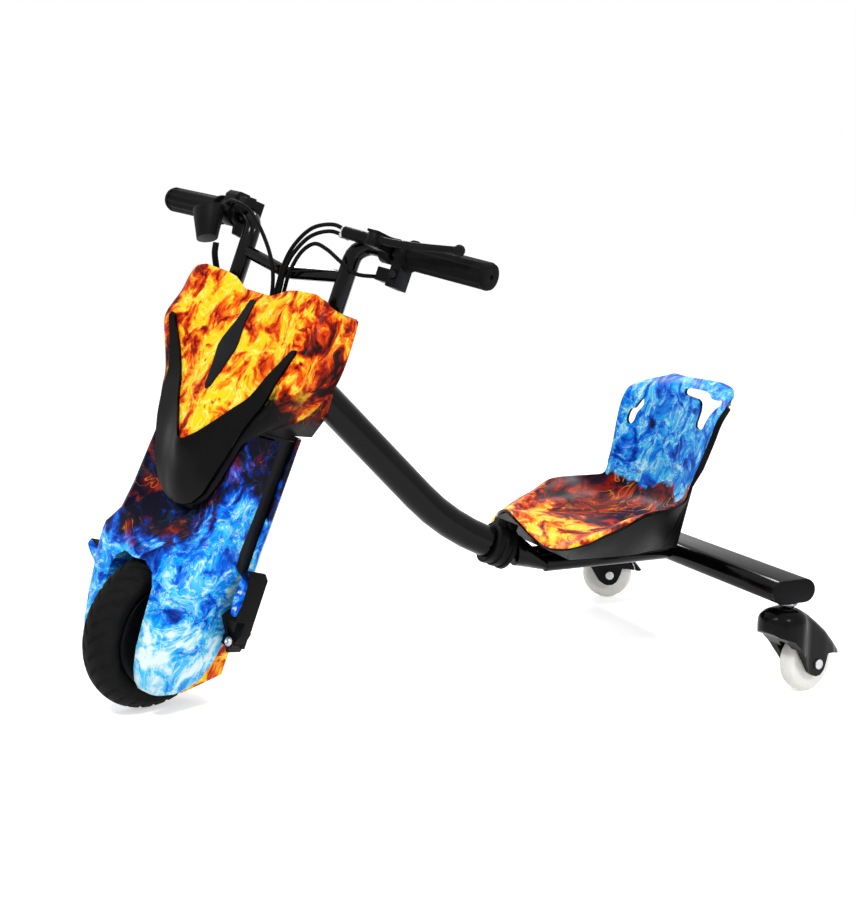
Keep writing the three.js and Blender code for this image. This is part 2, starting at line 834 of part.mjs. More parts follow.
function coreShell() {
  const topWidth = cheekHalfWidth;
  const cheekRowShares = [
    [0, 0.74, 0.56], [0.13, 0.77, 0.58], [0.2, 0.79, 0.98], [0.6, 0.91, 1], [1, 1, 0.86],
  ];
  const span = cheekTop - cheekBottom;
  const heights = cheekRowShares.map(([share]) => cheekBottom + span * share);
  const rings = (wall, grow) => cheekRowShares.map(([, width, rear]) => {
    const half = topWidth * width - wall;
    return [[-half, -cheekFront - grow], [half, -cheekFront - grow], [half, cheekRear * rear + grow],
      [-half, cheekRear * rear + grow]];
  });
  const innerHeights = heights.slice();
  innerHeights[0] -= overrun;
  innerHeights[innerHeights.length - 1] += overrun;
  const cheeks = cut(loft(rings(0, 0), heights), loft(rings(sheetWall, overrun), innerHeights));
  const shelfHalf = shroudWidthAt(cheekBottom) - coreInset;
  const shelfRear = rearCoverFront(cheekBottom);
  const shelfTop = cheekBottom + sheetWall;
  const shelf = block([-shelfHalf, shelfHalf], [-cheekFront, shelfRear], [cheekBottom, shelfTop]);
  const below = cheekBottom - overrun;
  const above = shelfTop + overrun;
  const notches = sides.map(([, side]) => {
    const place = (side * legSpacing) / 2;
    return rod(legRadius + clearance, [place, 0, below], [place, 0, above]);
  });
  notches.push(rod(shelfOpening / 2, [0, shelfRear, below], [0, shelfRear, above]));
  const core = joined(cheeks, shelf, coreStrip(1), coreStrip(-1));
  return piece('core_shell', cut(core, ...notches, maskRoom()), 'satinBlack');
}

// Mask: rows of height share, then pairs of half width share and depth share from the centre outwards.
const maskRowShares = [
  [0, [0, 0.735], [0.03, 0.73], [0.06, 0.725], [0.085, 0.72], [0.11, 0.71], [0.125, 0.7], [0.13, 0.69],
    [0.135, 0.68]],
  [0.065, [0, 0.82], [0.065, 0.81], [0.12, 0.79], [0.19, 0.77], [0.27, 0.74], [0.29, 0.73], [0.305, 0.725],
    [0.31, 0.72]],
  [0.16, [0, 0.905], [0.09, 0.885], [0.17, 0.86], [0.27, 0.83], [0.41, 0.8], [0.43, 0.79], [0.445, 0.785],
    [0.45, 0.78]],
  [0.27, [0, 1], [0.1, 0.96], [0.19, 0.92], [0.31, 0.865], [0.49, 0.82], [0.52, 0.81], [0.535, 0.8],
    [0.54, 0.79]],
  [0.33, [0, 0.97], [0.1, 0.945], [0.2, 0.91], [0.33, 0.865], [0.52, 0.825], [0.56, 0.815], [0.575, 0.8],
    [0.585, 0.78]],
  [0.435, [0, 0.915], [0.13, 0.885], [0.25, 0.855], [0.38, 0.825], [0.57, 0.79], [0.67, 0.765], [0.72, 0.7],
    [0.735, 0.5]],
  [0.5, [0, 0.87], [0.15, 0.845], [0.29, 0.8], [0.44, 0.765], [0.61, 0.74], [0.735, 0.72], [0.785, 0.65],
    [0.795, 0.26]],
  [0.6, [0, 0.81], [0.17, 0.795], [0.34, 0.775], [0.51, 0.755], [0.69, 0.75], [0.825, 0.74], [0.88, 0.67],
    [0.9, 0.17]],
  [0.66, [0, 0.78], [0.19, 0.77], [0.38, 0.755], [0.59, 0.755], [0.78, 0.76], [0.895, 0.75], [0.945, 0.68],
    [0.95, 0.15]],
  [0.73, [0, 0.735], [0.19, 0.73], [0.38, 0.73], [0.61, 0.745], [0.82, 0.77], [0.94, 0.77], [0.985, 0.68],
    [0.98, 0.15]],
  [0.85, [0, 0.64], [0.19, 0.65], [0.38, 0.67], [0.62, 0.69], [0.83, 0.695], [0.95, 0.64], [0.99, 0.53],
    [0.985, 0.15]],
  [0.935, [0, 0.565], [0.19, 0.595], [0.38, 0.625], [0.61, 0.655], [0.82, 0.665], [0.93, 0.61], [0.97, 0.5],
    [0.97, 0.15]],
  [1, [0, 0.49], [0.19, 0.52], [0.38, 0.57], [0.61, 0.61], [0.8, 0.62], [0.9, 0.56], [0.94, 0.45],
    [0.945, 0.16]],
];

function maskGrid() {
  return maskRowShares.map(([height, ...half]) => mirrorRow(half.map(([across, out]) => new THREE.Vector3(
    maskHalfWidth * across,
    maskRear - maskDepth * out,
    maskChin + maskHeight * height,
  ))));
}
const maskSurface = maskGrid();

// The space that the mask and everything in front of it take up.
function maskRoom() {
  const step = new THREE.Vector3(2 * sheetWall, sheetWall, 0);
  const beside = (point, side) => new THREE.Vector3(side, 1, 1).multiply(step).add(point);
  const back = offsetGrid(maskSurface, -sheetWall - clearance).map((row) => [
    beside(row[0], -1), ...row, beside(row[row.length - 1], 1),
  ]);
  const ahead = (point) => new THREE.Vector3(point.x, point.y - 2 * maskDepth, point.z);
  const front = back.map((row) => row.map(ahead));
  return sheet(front, back);
}

// The layer between two distances in front of the mask's face, kept inside a front view outline.
function maskLayer(from, to, outlineShares) {
  const half = outlineShares.map(([across, up]) => [maskHalfWidth * across, maskChin + maskHeight * up]);
  const other = half.filter(([x]) => x > 0).reverse().map(([x, z]) => [-x, z]);
  const window = prism([...half, ...other], 'y', -maskDepth, maskDepth);
  return common(sheet(offsetGrid(maskSurface, to), offsetGrid(maskSurface, from)), window);
}

function mask() {
  const outlineShares = [
    [0, 0.05], [0.12, 0.06], [0.28, 0.1], [0.42, 0.165], [0.52, 0.27], [0.58, 0.35], [0.68, 0.48],
    [0.8, 0.56], [0.9, 0.6], [1.04, 0.64], [1.04, 0.92], [0.94, 0.95], [0.86, 0.975], [0.74, 0.99],
    [0.48, 0.985], [0.36, 0.975], [0.25, 0.95], [0.18, 0.935], [0, 0.935],
  ];
  return piece('mask', maskLayer(-sheetWall, 0, outlineShares), 'flame');
}

// The visor is a V: the outer edge climbs to the tip and the inner edge comes back to the notch.
function visor() {
  const outlineShares = [
    [0, 0.012], [0.09, 0.016], [0.21, 0.047], [0.32, 0.095], [0.41, 0.165], [0.49, 0.26], [0.55, 0.35],
    [0.62, 0.45], [0.71, 0.59], [0.85, 0.73], [0.84, 0.75], [0.8, 0.745], [0.6, 0.615], [0.48, 0.515],
    [0.31, 0.41], [0.14, 0.315], [0.05, 0.275], [0, 0.265],
  ];
  const layer = maskLayer(clearance, clearance + visorThickness, outlineShares);
  return piece('visor', layer, 'glossBlack');
}

function dartTrim() {
  const outlineShares = [
    [0, 0.49], [0.03, 0.505], [0.11, 0.675], [0.105, 0.71], [0.055, 0.795], [0.03, 0.895], [0, 0.9],
  ];
  return piece('dart_trim', maskLayer(clearance, clearance + dartThickness, outlineShares), 'darkGrey');
}

function topCover() {
  const half = topCoverHalfWidth;
  const arm = uprightSpacing / 2;
  const outline = [[-half, 0], [half, 0], [half, topCoverDepth], [-half, topCoverDepth]];
  const bore = ring(barRadius + clearance, 20);
  const holes = sides.map(([, side]) => bore.map(([x, y]) => [x + side * arm, y + uprightSetback]));
  holes.push(ring(cableHoleRadius, 16).map(([x, y]) => [x, y + topCoverDepth / 2]));
  const bottom = upperCrownHeight + crownThickness + clearance;
  const [leadX, leadY] = cableRoute('horn_lead').pop();
  const below = topCoverHeight - overrun;
  const above = topCoverHeight + sheetWall + overrun;
  const lead = rod(leadRadius + 2 * clearance, [leadX, leadY, below], [leadX, leadY, above]);
  const plate = cut(prism(outline, 'z', topCoverHeight, topCoverHeight + sheetWall, holes), lead);
  const posts = sides.map(([, side]) => {
    const place = (side * topCoverPostSpacing) / 2;
    const top = topCoverHeight + sheetWall / 2;
    return rod(topCoverPostRadius, [place, crownReach, bottom], [place, crownReach, top], 10);
  });
  return piece('top_cover', joined(plate, ...posts), 'satinBlack');
}

// Handlebar: two bent tubes and a V-shaped brace, welded together.

function barStations(side) {
  const upright = (side * uprightSpacing) / 2;
  return bentStations([
    [upright, uprightSetback, uprightBottom],
    [upright, uprightSetback, uprightBendHeight],
    [side * barBendHalfSpan, barSetback, barHeight],
    [side * barHalfLength, barEndSetback, barHeight],
  ], [barKneeBend, barElbowBend], 3);
}

const barSetbackAt = (place) => {
  const share = (Math.abs(place) - barBendHalfSpan) / (barHalfLength - barBendHalfSpan);
  return barSetback + share * (barEndSetback - barSetback);
};

function handlebar() {
  const arm = uprightSpacing / 2;
  const middle = [0, uprightSetback - braceForward, braceHeight - braceDip];
  const bars = sides.map(([, side]) => sweep(barStations(side), ring(barRadius, 14)));
  const brace = sweep(bentStations([
    [-arm, uprightSetback, braceHeight], middle, [arm, uprightSetback, braceHeight],
  ], [braceRadius], 2), ring(braceRadius, 10));
  return piece('handlebar', joined(...bars, brace), 'glossBlack');
}

// A tool that clears the bar on one side, for clamps and grips.
function barTool(side) {
  return sweep(barStations(side), ring(barRadius + clearance, 14));
}

// Places a shape made about the X axis on the bar, at a distance from the middle.
function onBar(geometry, place) {
  const lean = Math.atan2(barEndSetback - barSetback, barHalfLength - barBendHalfSpan) * Math.sign(place);
  return geometry.rotateZ(lean).translate(place, barSetbackAt(place), barHeight);
}

function grip(name, side) {
  const ribbed = Array.from({ length: 2 * gripRibs }, (_, i) => {
    const radius = i % 2 ? gripRadius : gripRadius - gripRibDepth;
    const angle = (Math.PI * i) / gripRibs;
    return [radius * Math.cos(angle), radius * Math.sin(angle)];
  });
  const end = barHalfLength + gripFlangeWidth;
  const inner = end - gripLength;
  const capEdge = gripRadius - gripRibDepth;
  const sleeve = prism(ribbed, 'x', 0, gripLength - gripFlangeWidth);
  const flange = turned([[0, -gripFlangeWidth / 2], [gripFlangeRadius, -gripFlangeWidth / 2],
    [gripFlangeRadius, gripFlangeWidth / 2], [0, gripFlangeWidth / 2]], 'x', 24);
  const cap = turned([[0, gripLength - 2 * gripFlangeWidth], [gripRadius, gripLength - 2 * gripFlangeWidth],
    [gripRadius, gripLength - gripFlangeWidth], [capEdge, gripLength], [0, gripLength]], 'x', 24);
  const bore = rod(gripHoleRadius, [gripLength / 2, 0, 0], [gripLength + overrun, 0, 0], 12);
  const whole = cut(joined(sleeve, flange, cap), bore);
  if (side < 0) whole.rotateZ(Math.PI);
  return piece(`grip_${name}`, cut(onBar(whole, side * inner), barTool(side)), 'rubber');
}

function clampBand(radius, width, count = 20) {
  return rod(radius, [-width / 2, 0, 0], [width / 2, 0, 0], count);
}

function brakePerch() {
  const reach = leverPivotForward;
  const rise = leverPivotRise;
  const hubHalf = leverHubHeight / 2;
  const ear = hubHalf + clearance + perchEar;
  const half = perchWidth / 2;
  const mount = block([-half, half], [-reach + leverHubRadius + clearance, 0], [rise - ear, rise + ear]);
  const ears = [-1, 1].map((up) => {
    const low = rise + up * (hubHalf + clearance);
    const level = [Math.min(low, low + up * perchEar), Math.max(low, low + up * perchEar)];
    return block([-half, half], [-reach - half, -reach + 2 * leverHubRadius], level);
  });
  const pin = rod(leverPinRadius, [0, -reach, rise - ear], [0, -reach, rise + ear], 12);
  const barrelY = -reach + 2 * leverHubRadius;
  const barrel = rod(perchBarrelRadius, [-perchBarrelLength, barrelY - half, rise], [0, barrelY, rise], 14);
  const body = joined(clampBand(perchRadius, perchWidth), mount, ...ears, pin, barrel);
  return piece('brake_perch', cut(onBar(body, perchPlace), barTool(1), leverSweepTool()), 'satinBlack');
}

// Room for the lever's hub between the ears, and for its swing.
function leverSweepTool() {
  const hubHalf = leverHubHeight / 2 + clearance;
  const ringProfile = [
    [leverPinRadius, leverPivotRise - hubHalf], [leverHubRadius + clearance, leverPivotRise - hubHalf],
    [leverHubRadius + clearance, leverPivotRise + hubHalf], [leverPinRadius, leverPivotRise + hubHalf],
    [leverPinRadius, leverPivotRise - hubHalf],
  ];
  return onBar(turned(ringProfile, 'z', 20).translate(0, -leverPivotForward, 0), perchPlace);
}

function brakeLever() {
  const hubHalf = leverHubHeight / 2;
  const hub = turned([
    [leverPinRadius + clearance, -hubHalf], [leverHubRadius, -hubHalf], [leverHubRadius, hubHalf],
    [leverPinRadius + clearance, hubHalf], [leverPinRadius + clearance, -hubHalf],
  ], 'z', 20);
  const start = leverPinRadius + 2 * clearance + leverThickness / 2;
  const blade = sweep(smoothStations([
    [start, -leverWidth * 0.3, 0],
    [leverReach * 0.3, -leverWidth * 0.7, 0],
    [leverReach * 0.65, -leverWidth * 0.3, leverRise * 0.45],
    [leverReach, 0, leverRise],
  ], 9), obround(leverWidth / 2, leverThickness / 2, 4));
  const ball = new THREE.SphereGeometry(leverBallRadius, 12, 8).translate(leverReach, 0, leverRise);
  const lever = joined(hub, blade, ball).translate(0, -leverPivotForward, leverPivotRise);
  return piece('brake_lever', onBar(lever, perchPlace), 'satinBlack');
}

function switchBox() {
  const half = switchWidth / 2;
  const depth = switchDepth / 2;
  const body = block([-half, half], [-depth, depth], [-switchDrop, 0]);
  const side = block([-half - switchSideWidth, 0], [-depth * 0.7, depth * 0.7],
    [-switchDrop * 0.9, -switchDrop * 0.9 + switchSideHeight]);
  const whole = joined(clampBand(perchRadius, switchWidth), body, side);
  const well = rod(buttonRadius + clearance, [0, -depth - overrun, -switchDrop * 0.65],
    [0, -depth + buttonTravel * 2, -switchDrop * 0.65], 14);
  return piece('switch_box', cut(onBar(cut(whole, well), switchPlace), barTool(1)), 'satinBlack');
}

function switchButton() {
  const depth = switchDepth / 2;
  const stand = buttonTravel * 1.5;
  const cap = rod(buttonRadius, [0, -depth - stand, -switchDrop * 0.65],
    [0, -depth + buttonTravel - clearance, -switchDrop * 0.65], 14);
  return piece('switch_button', onBar(cap, switchPlace), 'darkGrey');
}

function throttleHousing() {
  const half = throttleWidth / 2;
  const depth = displayDepth / 2;
  const top = throttleRadius - sheetWall;
  const dome = prism([
    [-depth, 0], [depth, 0], [depth, top + displayHeight * 0.5], [depth * 0.6, top + displayHeight],
    [-depth * 0.6, top + displayHeight], [-depth, top + displayHeight * 0.5],
  ], 'x', -half - sheetWall, half);
  const body = joined(clampBand(throttleRadius, throttleWidth), dome);
  return piece('throttle_housing', cut(onBar(body, throttlePlace), barTool(-1)), 'satinBlack');
}

function throttleLever() {
  const half = thumbWidth / 2;
  const paddleShares = [[-0.5, 0], [0.6, 0], [0.75, -1], [-0.15, -0.95]];
  const outline = paddleShares.map(([back, up]) => [thumbRadius * back, thumbLength * up]);
  const paddle = prism(outline, 'x', -half, half);
  const body = joined(clampBand(thumbRadius, thumbWidth), paddle);
  const bore = clampBand(barRadius + clearance, thumbWidth + overrun, 32);
  return piece('throttle_lever', onBar(cut(body, bore), thumbPlace), 'satinBlack');
}

function powerBox() {
  const half = powerWidth / 2;
  const depth = powerDepth / 2;
  const body = block([-half, half], [-depth, depth], [0, powerHeight - barRadius * 0.5]);
  const well = rod(buttonRadius + clearance, [0, 0, powerHeight - barRadius * 0.5 - buttonTravel * 2],
    [0, 0, powerHeight + overrun], 14);
  return piece('power_box', cut(onBar(cut(body, well), powerPlace), barTool(-1)), 'satinBlack');
}

function powerButton() {
  const top = powerHeight - barRadius * 0.5;
  const foot = top - buttonTravel + clearance;
  const cap = rod(buttonRadius, [0, 0, foot], [0, 0, top + buttonTravel * 1.2], 14);
  return piece('power_button', onBar(cap, powerPlace), 'darkGrey');
}

function horn() {
  const bell = turned([
    [0, -hornLength], [hornTipRadius, -hornLength], [hornRimRadius, -sheetWall], [hornRimRadius, 0], [0, 0],
  ], 'z', 24);
  bell.scale(hornWidthShare, 1, 1).rotateY(-hornTilt).translate(hornShift, -hornForward, -hornDrop);
  const armDrop = 1.6 * hornBandWidth;
  const arm = block([-hornBandWidth / 2, hornBandWidth], [-hornForward, 0], [-armDrop, -sheetWall]);
  const body = joined(clampBand(throttleRadius - sheetWall, hornBandWidth), arm, bell);
  return piece('horn', cut(onBar(body, hornPlace), barTool(-1)), 'satinBlack');
}

// Cables, from the controls over the brace and down through the top cover.
const cableRadius = 2.5;
const leadRadius = 4;
// Places along each route as shares of the uprights' half spacing, of their setback and of the bar's height.
const cableRouteShares = {
  brake_cable_front: [
    [0.962, 0.43, 1.013], [0.7, 0.33, 1.02], [0.42, 0.13, 1], [0.16, 0.2, 0.95], [0.03, 0.37, 0.9],
    [0, 0.5, 0.85], [-0.02, 0.6, 0.78],
  ],
  brake_cable_rear: [
    [0.962, 0.43, 1.001], [0.7, 0.27, 1.003], [0.47, 0.03, 0.98], [0.24, 0.07, 0.93], [0.12, 0.27, 0.89],
    [0.08, 0.47, 0.845], [0.07, 0.6, 0.78],
  ],
  switch_wire: [
    [1.44, 1.27, 0.935], [1.29, 0.53, 0.925], [1.09, 0.2, 0.94], [0.8, 0.07, 0.96], [0.56, 0.07, 0.965],
    [0.36, 0.13, 0.94], [0.22, 0.27, 0.89], [0.12, 0.6, 0.845], [0.09, 0.8, 0.78],
  ],
  throttle_wire: [
    [-1.55, 0.7, 1.015], [-1.38, 0.4, 1.02], [-1.16, 0.13, 1.017], [-0.84, 0.07, 1.005], [-0.49, 0.2, 0.96],
    [-0.2, 0.37, 0.9], [-0.1, 0.53, 0.85], [-0.07, 0.73, 0.78],
  ],
  horn_lead: [
    [-1.29, 0.1, 0.91], [-1.275, 0.17, 0.885], [-1.25, 0.4, 0.857], [-1.225, 0.6, 0.834],
    [-1.215, 0.73, 0.81], [-1.21, 0.73, 0.78],
  ],
};

function cableRoute(name) {
  return cableRouteShares[name].map(([across, back, up]) => [
    (across * uprightSpacing) / 2, back * uprightSetback, up * barHeight,
  ]);
}

function cable(name) {
  const radius = name === 'horn_lead' ? leadRadius : cableRadius;
  return piece(name, sweep(smoothStations(cableRoute(name), 13), ring(radius, 7)), 'rubber');
}

// Footrests: a bracket on the shroud's side and a peg that folds up.

function footBracket(name, side) {
  const outlineShares = [
    [0.25, 0.6], [0.42, 0.8], [0.54, 1], [0.7, 1], [0.72, 0.66], [0.84, 0.48], [1, 0.36], [0.95, 0.03],
    [0.7, 0], [0.6, 0.2],
  ];
  const outline = outlineShares.map(([back, up]) => [footBracketRear * back, footBracketHeight * up]);
  const foot = shroudWidthAt(0) + footBracketGap;
  const head = shroudWidthAt(footBracketHeight) + 2 * clearance;
  const lean = (head - foot) / footBracketHeight;
  const plate = prism(outline, 'x', foot, foot + footBracketThickness);
  plate.applyMatrix4(new THREE.Matrix4().makeShear(0, 0, 0, 0, lean, 0));
  const root = foot + footBracketThickness / 2 + lean * footHingeHeight;
  const hubOuter = footHingePlace + footHubRadius;
  const spineOuter = footHingePlace - footPegThickness / 2 - clearance;
  const spineInner = spineOuter - footBracketThickness;
  const armRear = footHingeFront + footPegWidth + clearance;
  const armFront = armRear - footArmWidth - 2 * clearance;
  const front = armFront - footEar;
  const rear = armRear + 2 * footEar;
  const level = [footHingeHeight - footHubRadius, footHingeHeight + footHubRadius];
  const frontEar = block([spineInner, hubOuter], [front, armFront], level);
  const rearEar = block([root, hubOuter], [armRear, rear], level);
  const spine = block([spineInner, spineOuter], [front, rear], level);
  const pinRoute = [front, rear].map((y) => [footHingePlace, y, footHingeHeight]);
  const pin = rod(footPinRadius, ...pinRoute, 12);
  const bracket = joined(plate, frontEar, rearEar, spine, pin);
  return piece(`footrest_bracket_${name}`, mirrored(bracket, side), 'satinBlack');
}

// The peg stands up along the bracket when folded and swings out about its pin.
function footrest(name, side) {
  const rear = footHingeFront + footPegWidth;
  const armFront = rear - footArmWidth;
  const half = footPegThickness / 2;
  const shoulder = footPegLength - 2 * sheetWall;
  const padLow = footArmLength - sheetWall;
  const pad = prism([
    [0, padLow], [footPegThickness, padLow], [footPegThickness, shoulder],
    [half, footPegLength], [half / 3, footPegLength], [0, shoulder],
  ], 'y', footHingeFront, rear);
  const arm = prism([
    [-half, 0], [half, 0], [footPegThickness, 2 * footHubRadius], [footPegThickness, footArmLength],
    [0, footArmLength], [0, 2 * footHubRadius], [-half, footHubRadius],
  ], 'y', armFront, rear);
  const hub = rod(footHubRadius, [0, armFront, 0], [0, rear, 0]);
  const bore = rod(footPinRadius + clearance, [0, armFront - overrun, 0], [0, rear + overrun, 0], 12);
  const peg = cut(joined(pad, arm, hub), bore).rotateY(footrestTurns[name]);
  peg.translate(footHingePlace, 0, footHingeHeight);
  return piece(`footrest_${name}`, mirrored(peg, side), 'rubber');
}

// Frame behind the steering head.

function headTube() {
  const bottom = lowerCrownHeight + crownThickness + clearance;
  const top = upperCrownHeight - clearance;
  const bore = headTubeRadius - headTubeWall;
  const flare = headTubeRadius + headTubeWall / 2;
  const inner = steererRadius + clearance;
  const cup = 2 * headTubeWall;
  const profile = [
    [inner, bottom], [flare, bottom], [flare, bottom + cup], [headTubeRadius, bottom + cup],
    [headTubeRadius, top - cup], [flare, top - cup], [flare, top], [inner, top], [inner, top - cup],
    [bore, top - cup], [bore, bottom + cup], [inner, bottom + cup], [inner, bottom],
  ];
  return piece('head_tube', turned(profile, 'z', 24), 'glossBlack');
}

const headPoint = (height) => [
  0, -wheelbase + height * Math.sin(rake), tyreRadius + height * Math.cos(rake),
];

function mainTube() {
  const bendsAndEnd = [mainTubeNeck, mainTubeElbow, mainTubeEnd].map((place) => [0, ...place]);
  const corners = [headPoint(mainTubeHeadHeight), ...bendsAndEnd];
  const stations = bentStations(corners, [mainTubeNeckBend, mainTubeElbowBend], 4);
  const tube = sweep(stations, ring(mainTubeRadius, 18), [ring(mainTubeRadius - mainTubeWall, 18)]);
  const seat = headTubeRadius + clearance;
  const head = rod(seat, headPoint(lowerCrownHeight), headPoint(upperCrownHeight), 24);
  return piece('main_tube', cut(tube, head), 'glossBlack');
}

// Parts on the lower end of the main tube are drawn about +Y and turned to its slope.
const tubeSlope = Math.atan2(mainTubeEnd[1] - mainTubeElbow[1], mainTubeEnd[0] - mainTubeElbow[0]);
const onTubeEnd = (geometry) => geometry.rotateX(tubeSlope).translate(0, ...mainTubeEnd);

function collarClamp() {
  const half = collarLength / 2;
  const band = collarLength / 6;
  const ridge = collarRadius + collarRingHeight;
  const bore = mainTubeRadius + clearance;
  const profile = [
    [bore, -half], [ridge, -half], [ridge, band - half], [collarRadius, band - half],
    [collarRadius, -band / 2], [ridge, -band / 2], [ridge, band / 2], [collarRadius, band / 2],
    [collarRadius, half - band], [ridge, half - band], [ridge, half], [bore, half], [bore, -half],
  ];
  const rings = turned(profile, 'y', 24);
  const lug = block([-collarLugWidth / 2, collarLugWidth / 2], [-half, half],
    [collarRadius - sheetWall, collarRadius + collarLugHeight]);
  const bolt = rod(sheetWall, [-collarLugWidth, 0, collarRadius + collarLugHeight / 2],
    [collarLugWidth, 0, collarRadius + collarLugHeight / 2], 10);
  const collar = joined(rings, lug, bolt).translate(0, -half, 0);
  return piece('collar_clamp', onTubeEnd(collar), 'satinBlack');
}

// The yoke spreads from the collar to the two rails.
const yokeFront = mainTubeEnd[0] - mainTubeRadius * Math.sin(tubeSlope) + clearance;

function railYoke() {
  const wide = (railSpacing + 2 * railRadius) / 2;
  const count = 24;
  const round = ring(yokeRadius, count);
  const flat = ring(1, count).map(([x, z]) => [wide * Math.sign(x) * Math.abs(x) ** 0.7, railRadius * z]);
  const lengthShares = [0, 0.3, 1];
  const outlines = [round, round, flat];
  const heights = [mainTubeEnd[1] - yokeDrop, mainTubeEnd[1] - 2 * yokeDrop, railHeight];
  const rings = outlines.map((outline, i) => outline.map(([x, z]) => [x, -(z + heights[i])]));
  const geometry = loft(rings, lengthShares.map((share) => yokeFront + share * yokeLength));
  return piece('rail_yoke', geometry.rotateX(-Math.PI / 2), 'glossBlack');
}

const yokeRear = yokeFront + yokeLength;

function seatRail(name, side) {
  const place = (side * railSpacing) / 2;
  const from = [place, yokeRear + clearance, railHeight];
  const to = [place, -beamWidth / 2 - clearance, railHeight];
  return piece(`seat_rail_${name}`, rod(railRadius, from, to, 20), 'glossBlack');
}

function rearBeam() {
  const half = beamLength / 2;
  const outer = obround(beamWidth / 2, beamThickness / 2, 10);
  const inner = obround(beamWidth / 2 - beamWall, beamThickness / 2 - beamWall, 10);
  const tube = prism(outer, 'x', -half, half, [inner]).translate(0, 0, beamHeight);
  return piece('rear_beam', tube, 'glossBlack');
}

function beamCap(name, side) {
  const from = beamLength / 2 + clearance;
  const plugWidth = beamWidth / 2 - beamWall - clearance;
  const plugHeight = beamThickness / 2 - beamWall - clearance;
  const plate = prism(obround(beamWidth / 2, beamThickness / 2, 10), 'x', from, from + capThickness);
  const plug = prism(obround(plugWidth, plugHeight, 6), 'x', from - capPlugLength, from + capThickness / 2);
  const cap = joined(plate, plug).translate(0, 0, beamHeight);
  return piece(`beam_cap_${name}`, mirrored(cap, side), 'satinBlack');
}

function seatBracket() {
  const bottom = railHeight + railRadius + clearance;
  const half = bracketWidth / 2;
  const front = bracketRear - bracketLength;
  const plate = block([-half, half], [front, bracketRear], [bottom, bottom + bracketThickness]);
  return piece('seat_bracket', plate, 'satinBlack');
}

// Casters. Each is drawn about its own stem with the wheel trailing along +Y.

function casterSocket(name, side) {
  const top = beamHeight - beamThickness / 2 - clearance;
  const foot = top - socketHeight;
  const profile = [
    [0, foot - stemLength], [stemRadius, foot - stemLength], [stemRadius, foot], [socketRadius * 0.8, foot],
    [socketRadius, foot + socketHeight / 2], [socketRadius * 0.85, top], [0, top],
  ];
  const socket = turned(profile, 'z', 20).translate((side * casterSpacing) / 2, 0, 0);
  return piece(`caster_socket_${name}`, socket, 'steel');
}

function casterFork(name) {
  const sideShares = [
    [0, 0.83], [0.01, 0.9], [0.06, 0.965], [0.16, 0.995], [0.28, 1], [0.375, 0.985], [0.48, 0.91],
    [0.59, 0.8], [0.745, 0.63], [0.87, 0.455], [0.955, 0.325], [1, 0.24], [0.97, 0.215], [0.83, 0.27],
    [0.75, 0.28], [0.72, 0.15], [0.685, 0.06], [0.64, 0.01], [0.575, 0], [0.52, 0.03], [0.465, 0.09],
    [0.395, 0.26], [0.31, 0.44], [0.2, 0.58], [0.06, 0.65], [0.015, 0.7],
  ];
  const side = sideShares.map(([along, up]) => [
    casterForkLength * along - casterForkFront,
    casterForkTop - casterForkHeight + casterForkHeight * up,
  ]);
  const frontHalf = ring(1, 20).filter((_, i) => i >= 10);
  const dome = frontHalf.map(([x, y]) => [casterDomeRadius * x, casterForkFront * y]);
  const flankShares = [
    [1.33, 0], [1.15, 0.11], [1, 0.21], [1, 0.39], [0.9, 0.53], [0.68, 0.64], [0.4, 0.71],
  ];
  const [half, length] = [casterForkHalfWidth, casterForkLength];
  const flank = flankShares.map(([across, along]) => [half * across, length * along]);
  const plan = [...dome, ...flank, ...flank.slice().reverse().map(([x, y]) => [-x, y])];
  const hood = common(
    prism(side, 'x', -casterDomeRadius, casterDomeRadius),
    prism(plan, 'z', 0, casterForkTop + overrun),
  );
  const well = rod(casterWellRadius, [-casterWellHalfWidth, casterTrail, casterRadius],
    [casterWellHalfWidth, casterTrail, casterRadius], 32);
  const boreBottom = casterForkTop - stemLength - overrun;
  const bore = rod(stemRadius + clearance, [0, 0, boreBottom], [0, 0, casterForkTop + overrun]);
  const reach = casterDomeRadius;
  const axle = rod(casterBore, [-reach, casterTrail, casterRadius], [reach, casterTrail, casterRadius]);
  return piece(`caster_fork_${name}`, cut(hood, well, bore, axle), 'satinBlack');
}

function casterAxle(name) {
  const shaft = casterBore - clearance;
  const inner = casterForkHalfWidth + clearance;
  const outer = inner + casterHeadWidth;
  const profile = [
    [0, -outer], [casterHeadRadius, -outer], [casterHeadRadius, -inner], [shaft, -inner], [shaft, inner],
    [casterHeadRadius, inner], [casterHeadRadius, outer], [0, outer],
  ];
  const bolt = turned(profile, 'x', 12).translate(0, casterTrail, casterRadius);
  return piece(`caster_axle_${name}`, bolt, 'steel');
}

function casterWheel(name) {
  const profileShares = [
    [0.32, 0.5], [0.35, 0.42], [0.68, 0.44], [0.88, 0.44], [0.97, 0.3], [1, 0.12],
  ];
  const rise = profileShares.map(([up, across]) => [casterRadius * up, casterWidth * across]);
  const fall = rise.slice().reverse().map(([radius, across]) => [radius, -across]);
  const faces = [[casterBore, casterWidth / 2], ...rise, ...fall, [casterBore, -casterWidth / 2]];
  const profile = [...faces, faces[0]];
  const wheel = turned(profile, 'x', 24).translate(0, casterTrail, casterRadius);
  return piece(`caster_wheel_${name}`, wheel, 'wheelWhite');
}

